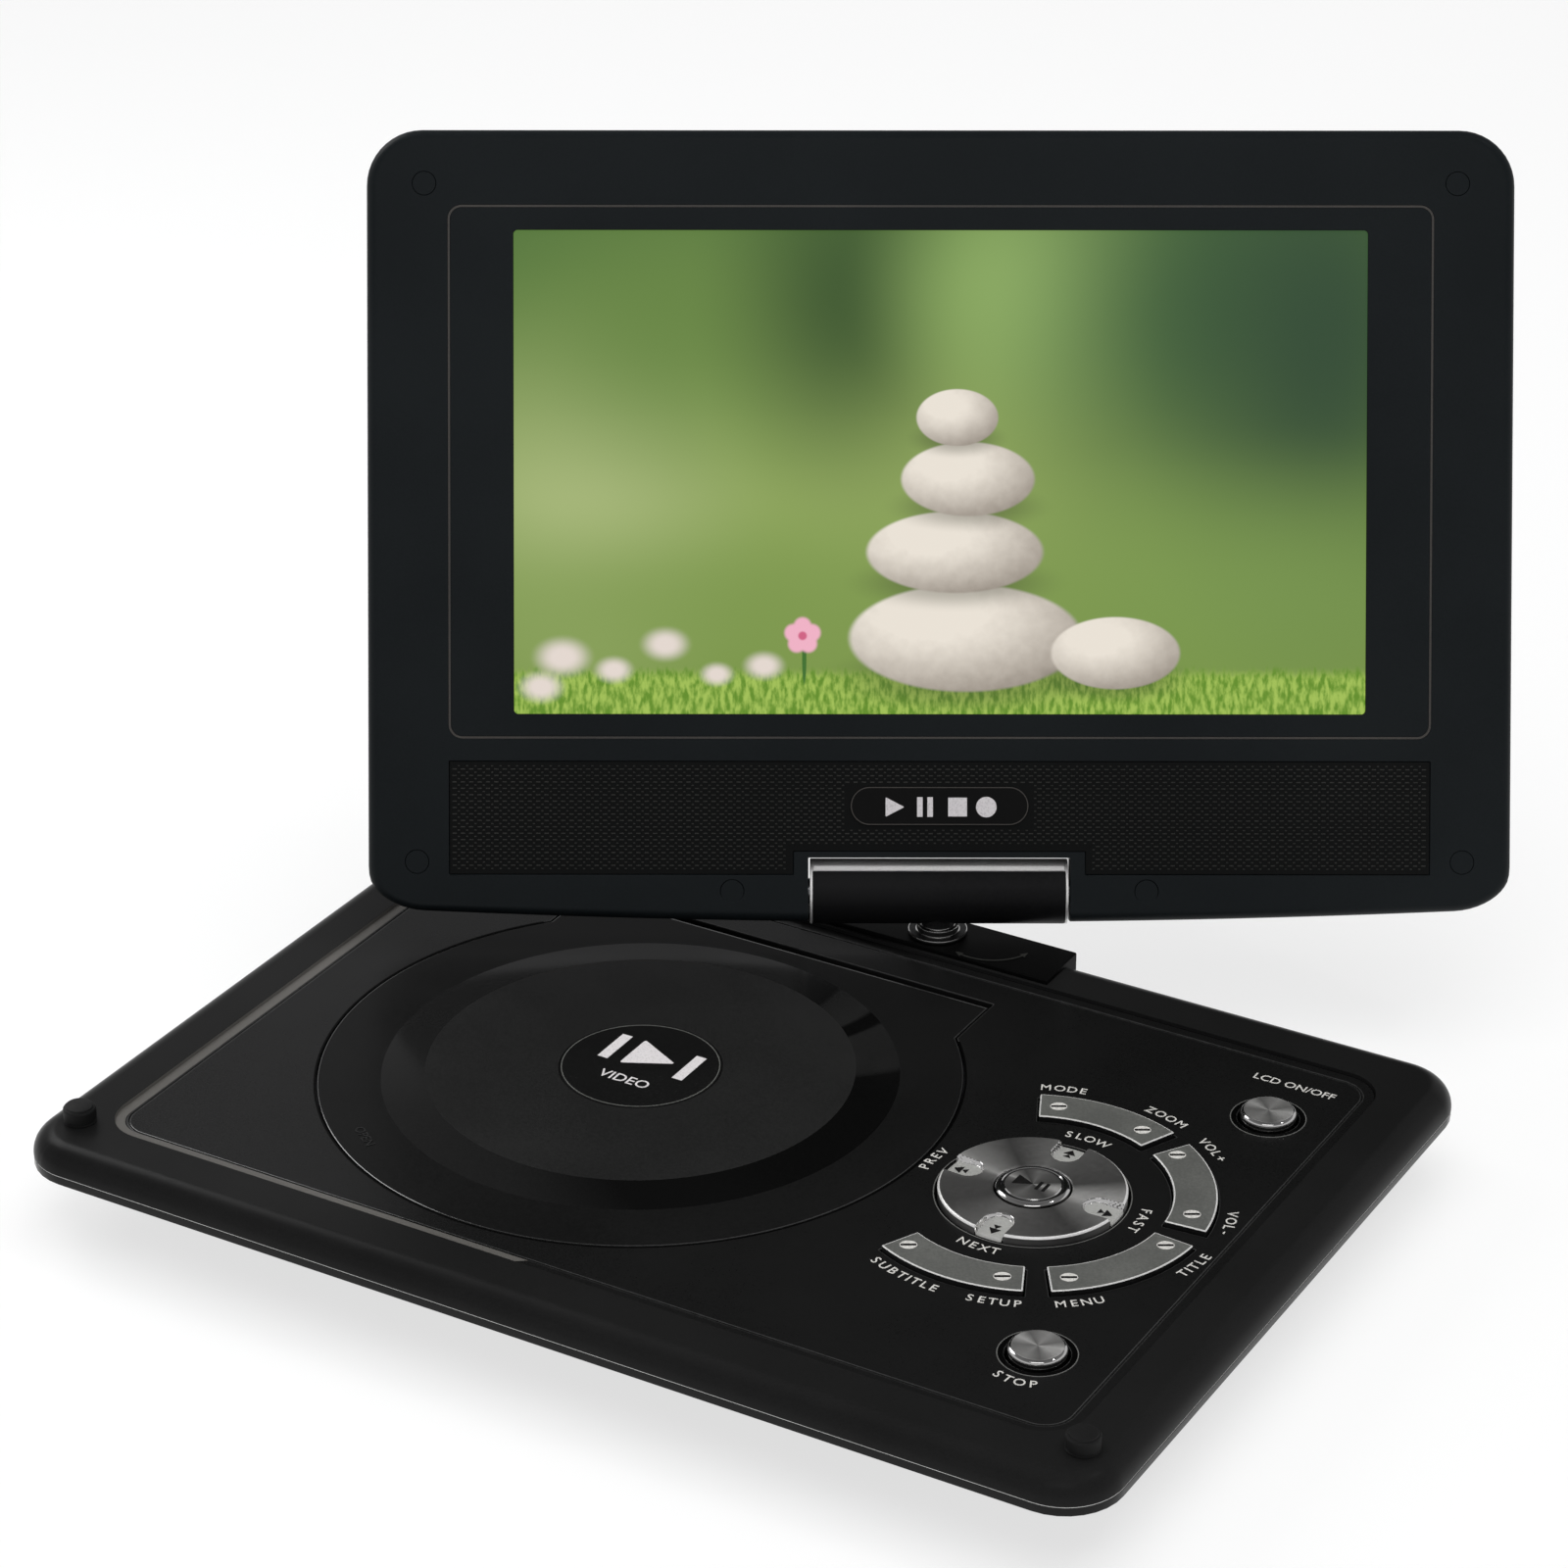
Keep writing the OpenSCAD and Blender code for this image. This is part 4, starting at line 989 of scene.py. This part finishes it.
def play():
    top = top_of("play_button")
    steps = [(0, 0), (6.1, 0.02), (6.3, 0.22), (6.7, 0.22), (6.9, 0.04), (7.3, 0.05), (7.8, 0.25)]
    steps.append((8.1, 0.6))
    profile = drops(top, low_of("play_button"), steps)
    looks = ["wheel_metal", "chrome", "jack_black"]
    hub = lathe("play_hub", profile, WHEEL, "play", looks, 160, looks + ["chrome"] * 6)
    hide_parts("play_button")
    arrow = rounded_polygon([(-4.2, -2.0), (0.2, 0.0), (-4.2, 2.0)], 0.3)
    parts = prisms([arrow, bar(1.5, 0, 0.8, 3.4), bar(3.1, 0, 0.8, 3.4)], top - 0.02, top + 0.03)
    several("play_symbol", parts, WHEEL, "play", ["dark_ink"])


KEY_MARKS = {"mode": (108, 74), "volume": (53.5, 13.4), "menu": (-9.3, -50), "setup": (-73, -111)}
KEY_LOOKS = ["key_metal", "metal_highlight_white", "jack_black"]
KEY_EDGE = 0.36
MARK_REACH = 35.05
MARK_TURN = math.radians(30)


def key_zone(f, flat):
    """The look of a face of a key: its flat top, its rounded edge with a painted highlight, or its side.
    """
    if f.normal.z > 0.995 and f.calc_center_median().z > flat:
        return "key_metal"
    return "metal_highlight_white" if f.normal.z > 0.3 else "jack_black"


def arc_keys():
    for name, angles in KEY_MARKS.items():
        node = name + "_key"
        top = top_of(node)
        flat = (top - 0.02) * MM
        softened(node, name + "_keycap", name, "key_metal", KEY_EDGE, 3, KEY_LOOKS,
            lambda f: key_zone(f, flat))
        spots = [on_circle(MARK_REACH, math.radians(a)) for a in angles]
        ovals = [oval(x, y, 1.9, 1.6, MARK_TURN) for x, y in spots]
        bars = [bar(x, y, 3.4, 0.75, MARK_TURN) for x, y in spots]
        marks = prisms(ovals, top - 0.02, top + 0.04)
        several(name + "_marks", marks, WHEEL, name, ["white_ink"])
        strokes = prisms(bars, top + 0.03, top + 0.07)
        several(name + "_mark_bars", strokes, WHEEL, name, ["dark_ink"])


def round_buttons():
    steps = [(0, 0.12), (3.0, 0.08), (5.1, 0), (5.5, 0.02), (5.9, 0.2), (6.15, 0.5), (6.3, 0.9)]
    for body, place in (("stop", STOP), ("screen", SCREEN)):
        node, metal = body + "_button", body + "_metal"
        profile = drops(top_of(node), low_of(node), steps)
        zones = [metal] * 3 + ["chrome"] * 5
        obj = lathe(body + "_cap", profile, place, body, [metal, "chrome"], 128, zones)
        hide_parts(node)


# (text, radius, angle, tops outward) about the wheel
LABELS = [("MODE", 44.8, 108.5, True), ("ZOOM", 44.6, 75.5, True), ("VOL+", 44.2, 54, True),
    ("VOL-", 43.4, 14, True), ("TITLE", 43.2, -10.5, False), ("MENU", 42.9, -49.5, False),
    ("SETUP", 42.9, -73.5, False), ("SUBTITLE", 42.9, -102, False), ("SLOW", 26.2, 90, True),
    ("PREV", 25.6, 176, True), ("NEXT", 24.2, -91, False), ("FAST", 25.2, 5, True)]
LABEL_SIZE = 3.4


def labels():
    ring = []
    for label in LABELS:
        ring += around(*label)
    stop = around("STOP", 11.0, -88, False)
    screen = [("LCD ON/OFF", -0.6, 14.0, 0)]
    for name, place, items in (("wheel_labels", WHEEL, ring), ("stop_label", STOP, stop),
            ("screen_label", SCREEN, screen)):
        lettering(name, items, place, DECK_Z + 0.02, "base", "white_ink", LABEL_SIZE)


# (name, place, radius of the hole, radius of the rim)
WELLS = [("wheel", WHEEL, 20.95, 21.4), ("stop", STOP, 7.05, 8.35), ("screen", SCREEN, 7.05, 8.35)]


def wells():
    """Painted shade: a dark ring round the wheel and the round buttons where the well is, and a thin
    painted highlight on its rim.
    """
    for name, place, hole, rim in WELLS:
        well = flat_ring(rim - 0.1, hole, DECK_Z + 0.03)
        several(name + "_well", [well], place, "base", ["shade_and_joint_black"])
        line = flat_ring(rim + 0.12, rim - 0.12, DECK_Z + 0.06)
        several(name + "_rim", [line], place, "base", ["rim_highlight_line"])


def flat_ring(outer, inner, top):
    circles = [oval(0, 0, r, r, steps=160) for r in (outer, inner)]
    return ring_strip(*circles, DECK_Z - 0.02, top)


# ---- hinge ----

def collar_zone(f):
    return "chrome" if 0.15 < abs(f.normal.z) < 0.97 else "jack_black"


def hinge():
    # painted reflection: the chrome strip on the barrel is near white
    softened("hinge_barrel", "hinge_barrel_metal", "swivel", "chrome", 0.2, 2, ["metal_highlight_white"])
    softened("hinge_cover", "hinge_barrel_cover", "swivel", "black_gloss", 0.12, 2, ["hinge_black"])
    softened("swivel_post", "swivel_collar", "swivel", "machine_steel", 0.22, 2, ["jack_black", "chrome"],
        collar_zone)
    softened("tilt_shafts", "tilt_shaft_pair", "swivel", "machine_steel", 0.2)
    paint("swivel_washer", "machine_steel")


# ---- lid ----

BOW = 2.85


def bow_lower_edge(bm):
    """The lid's lower edge rises in a shallow arc towards its corners."""
    local = LID.inverted()
    for u in range(-132, 133, 6):
        geom = list(bm.verts) + list(bm.edges) + list(bm.faces)
        spot = LID @ Vector((u, 0, 0))
        bmesh.ops.bisect_plane(bm, geom=geom, dist=1e-7, plane_co=spot, plane_no=LID_RIGHT)
    for vert in bm.verts:
        p = local @ vert.co
        share = max(0.0, min(1.0, (3.0 - p.y) / 10.0))
        p.y += BOW * (p.x / 125) ** 2 * share
        vert.co = LID @ p


def lid_shell(node, name, slot, width):
    bm = shell_of(node)
    round_edges(bm, width, 2)
    bow_lower_edge(bm)
    obj = from_bmesh(name, bm, "lid", [slot])
    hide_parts(node)


def frame_line():
    """The raised line round the window."""
    edges = [round_rect(229.1 - inset, 124.0 - inset, 3.25 - inset / 2) for inset in (0.0, 1.0)]
    outer, inner = [[(x, y + PICTURE_V) for x, y in edge] for edge in edges]
    line = ring_strip(outer, inner, LID_FRONT - 0.3, LID_FRONT - 0.03)
    several("picture_frame_line", [line], LID, "lid", ["frame_grey"])


PICTURE_HALF_W, PICTURE_HALF_H = 99.3, 56.25
PICTURE_Z = 6.68
PICTURE_GRID = (24, 14)


def picture():
    """The lit panel behind the window."""
    bm = bmesh.new()
    w, h = PICTURE_HALF_W, PICTURE_HALF_H
    cols, rows = PICTURE_GRID
    across = [-w + 2 * w * i / cols for i in range(cols + 1)]
    grid = []
    for j in range(rows + 1):
        v = PICTURE_V - h + 2 * h * j / rows
        grid.append([bm.verts.new(LID @ Vector((u, v, PICTURE_Z))) for u in across])
    for j in range(rows):
        for i in range(cols):
            bm.faces.new((grid[j][i], grid[j][i + 1], grid[j + 1][i + 1], grid[j + 1][i]))
    border = [e for e in bm.edges if e.is_boundary]
    low = bmesh.ops.extrude_edge_only(bm, edges=border)["geom"]
    shift = LID.to_3x3() @ Vector((0, 0, -0.08))
    for v in low:
        if isinstance(v, bmesh.types.BMVert):
            v.co += shift
    bmesh.ops.holes_fill(bm, edges=[e for e in bm.edges if e.is_boundary], sides=0)
    screen = from_bmesh("screen_picture", bm, "lid", ["picture"])
    screen.visible_glossy = False
    paint("lcd_panel", "screen_glass")


# where the dashes start and stop across and up the grille, and the places kept clear of them
DASH_U, DASH_V = (-113.2, 113.3), (5.6, 30.2)
DASH_PITCH_U, DASH_PITCH_V = 1.95, 0.75
DASH_TALL = 0.34
DASH_Z = (7.33, 7.44)
NOTCH_U, NOTCH_V = 35.2, 10.9
BADGE_U, BADGE_TALL = 21.6, 5.3
BADGE_V = 20.35


def grille():
    """The speaker panel with its rows of small raised dashes, long and short by turns, lighter than the
    panel as a painted highlight.
    """
    softened("speaker_grille", "grille_panel", "lid", "grille_black", 0.15)
    parts = []
    row, v = 0, DASH_V[0]
    while v < DASH_V[1]:
        u = DASH_U[0] + (0.0 if row % 2 else DASH_PITCH_U / 2)
        while u < DASH_U[1]:
            in_notch = abs(u) < NOTCH_U and v < NOTCH_V
            in_badge = abs(v - BADGE_V) < BADGE_TALL and abs(u) < BADGE_U
            if not (in_notch or in_badge):
                parts.append(dash(u, v, 1.05 if row % 2 else 0.55))
            u += DASH_PITCH_U
        v += DASH_PITCH_V
        row += 1
    several("grille_dashes", parts, LID, "lid", ["raised_mark_highlight"])


def dash(u, v, long):
    """A small dash, narrower at its top than at its foot."""
    low, high = DASH_Z
    points = [(x, y, low) for x, y in bar(u, v, long, DASH_TALL)]
    points += [(x, y, high) for x, y in bar(u, v, long * 0.8, DASH_TALL * 0.5)]
    faces = [(4, 5, 6, 7), (0, 1, 5, 4), (1, 2, 6, 5), (2, 3, 7, 6), (3, 0, 4, 7), (3, 2, 1, 0)]
    return points, faces


BADGE_TOP = 7.8


def badge():
    """The small plate in the middle of the grille, with plain symbols and a thin rim."""
    softened("badge_plate", "badge", "lid", "black_gloss", 0.25, 3, ["badge_black"])
    y = BADGE_V - 0.25
    arrow = rounded_polygon([(-12.6, y - 2.3), (-8.2, y), (-12.6, y + 2.3)], 0.35)
    shapes = [arrow, bar(-4.6, y, 1.3, 4.6), bar(-2.2, y, 1.3, 4.6), bar(4.2, y, 4.4, 4.4)]
    shapes.append(oval(10.9, y, 2.4, 2.4))
    parts = prisms(shapes, BADGE_TOP, BADGE_TOP + 0.08)
    several("badge_symbols", parts, LID, "lid", ["silver_ink"])
    outer, inner = [stadium(16.3, r, BADGE_V) for r in (4.42, 4.2)]
    rim = ring_strip(outer, inner, BADGE_TOP - 0.2, BADGE_TOP + 0.02)
    several("badge_rim", [rim], LID, "lid", ["frame_grey"])


def lid():
    lid_shell("lid_bezel", "lid_front", "lid_black", 0.2)
    lid_shell("lid_back_cover", "lid_back", "black_gloss", 0.3)
    softened("screw_covers", "lid_screw_covers", "lid", "lid_black", 0.12)
    frame_line()
    picture()
    grille()
    badge()


# ---- parts inside, and sockets ----

HIDDEN_NODES = {
    "disc_tray": "chassis_grey", "spindle_motor": "motor_steel", "sled_rails": "machine_steel",
    "sled_motor": "motor_steel", "lead_screw": "screw_brass", "optical_pickup": "chassis_grey",
    "pickup_lens": "lens_glass", "main_board": "board_green", "key_board": "board_green",
    "tact_switches": "screw_steel", "battery_pack": "cell_blue", "turntable": "hub_white",
    "turntable_mat": "rubber_black", "wheel_carrier": "chassis_grey", "hinge_brackets": "machine_steel",
    "backlight": "sheet_white", "lid_board": "board_green", "speakers": "speaker_black",
    "lid_screws": "screw_steel", "card_slot": "shell_steel", "power_switch_body": "jack_black",
}


def inner_parts():
    for node, name in HIDDEN_NODES.items():
        paint(node, name)
    softened("usb_socket", "usb_shell", "base", "shell_steel", 0.12)
    softened("headphone_jack", "phones_socket", "base", "jack_black", 0.15)
    softened("av_jack", "av_socket", "base", "jack_yellow", 0.15)
    softened("dc_jack", "power_socket", "base", "jack_black", 0.15)
    softened("power_switch_knob", "power_knob", "power_switch", "jack_black", 0.3, 3)


# ---- studio ----

VIEW_AZ, VIEW_EL = 30.1, 27.38
VIEW_TARGET = Vector((-0.0714, 0.1391, 0.024))
VIEW_DISTANCE = 1.2048
LENS = 110.14


def camera():
    az, el = math.radians(VIEW_AZ), math.radians(VIEW_EL)
    back = Vector((math.sin(az) * math.cos(el), -math.cos(az) * math.cos(el), math.sin(el)))
    data = bpy.data.cameras.new("camera")
    data.lens = LENS
    data.sensor_width = 36.0
    data.clip_end = 50.0
    obj = bpy.data.objects.new("camera", data)
    obj.location = VIEW_TARGET + back * VIEW_DISTANCE
    obj.rotation_euler = (-back).to_track_quat("-Z", "Y").to_euler()
    bpy.context.scene.collection.objects.link(obj)
    bpy.context.scene.camera = obj


def area_light(name, at, aim, size, power, glossy=True):
    data = bpy.data.lights.new(name, "AREA")
    data.shape = "RECTANGLE"
    data.size, data.size_y = size
    data.energy = power
    obj = bpy.data.objects.new(name, data)
    obj.location = at
    obj.rotation_euler = (Vector(aim) - Vector(at)).to_track_quat("-Z", "Y").to_euler()
    obj.visible_glossy = glossy
    bpy.context.scene.collection.objects.link(obj)


def floor():
    m, t = material("studio_floor")
    drift = t.noise(t.coords(), 3.0, 2.0)
    t.set(Base_Color=t.mix(drift, linear(150, 150, 150), linear(152, 152, 152)))
    t.set(Roughness=0.9, Specular_IOR_Level=0.0)
    t.set(Emission_Color=(1.0, 1.0, 1.0, 1.0), Emission_Strength=0.7)
    mesh = bpy.data.meshes.new("floor")
    mesh.from_pydata([(-6, -6, 0), (6, -6, 0), (6, 6, 0), (-6, 6, 0)], [], [(0, 1, 2, 3)])
    mesh.materials.append(m)
    obj = bpy.data.objects.new("floor", mesh)
    bpy.context.scene.collection.objects.link(obj)


WORLD_TONES = [(0.0, 0.5), (0.5, 0.5), (0.56, 0.16), (0.8, 0.14), (1.0, 0.1)]


def world():
    w = bpy.data.worlds.new("studio")
    bpy.context.scene.world = w
    w.use_nodes = True
    t = Tree(w)
    split = t.node("ShaderNodeSeparateXYZ")
    t.feed(split.inputs[0], t.node("ShaderNodeTexCoord").outputs["Generated"])
    tones = t.vector("MULTIPLY", t.ramp(split.outputs["Z"], WORLD_TONES), (1.0, 1.0, 1.01))
    t.feed(t.tree.nodes["Background"].inputs["Color"], tones)


def studio():
    area_light("overhead", (0.2, -0.1, 2.2), (0, 0, 0), (2.6, 2.2), 40.0, glossy=False)
    area_light("left", (-0.55, 0.12, 0.5), (-0.1, 0, 0), (0.3, 0.3), 1.2)
    area_light("glint", (0.9, 0.5, 1.6), (0.1, 0, 0), (0.12, 0.12), 1.2)
    area_light("front", (0.42, -0.72, 1.0), (0, 0, 0.03), (0.8, 0.3), 1.2)
    bpy.context.scene.view_settings.view_transform = "Standard"


camera()
world()
studio()
floor()
top_shell()
reflection_strip()
door_gap_shade()
bumpers()
feet_and_screws()
underside()
door()
wheel()
play()
arc_keys()
round_buttons()
labels()
wells()
hinge()
lid()
inner_parts()
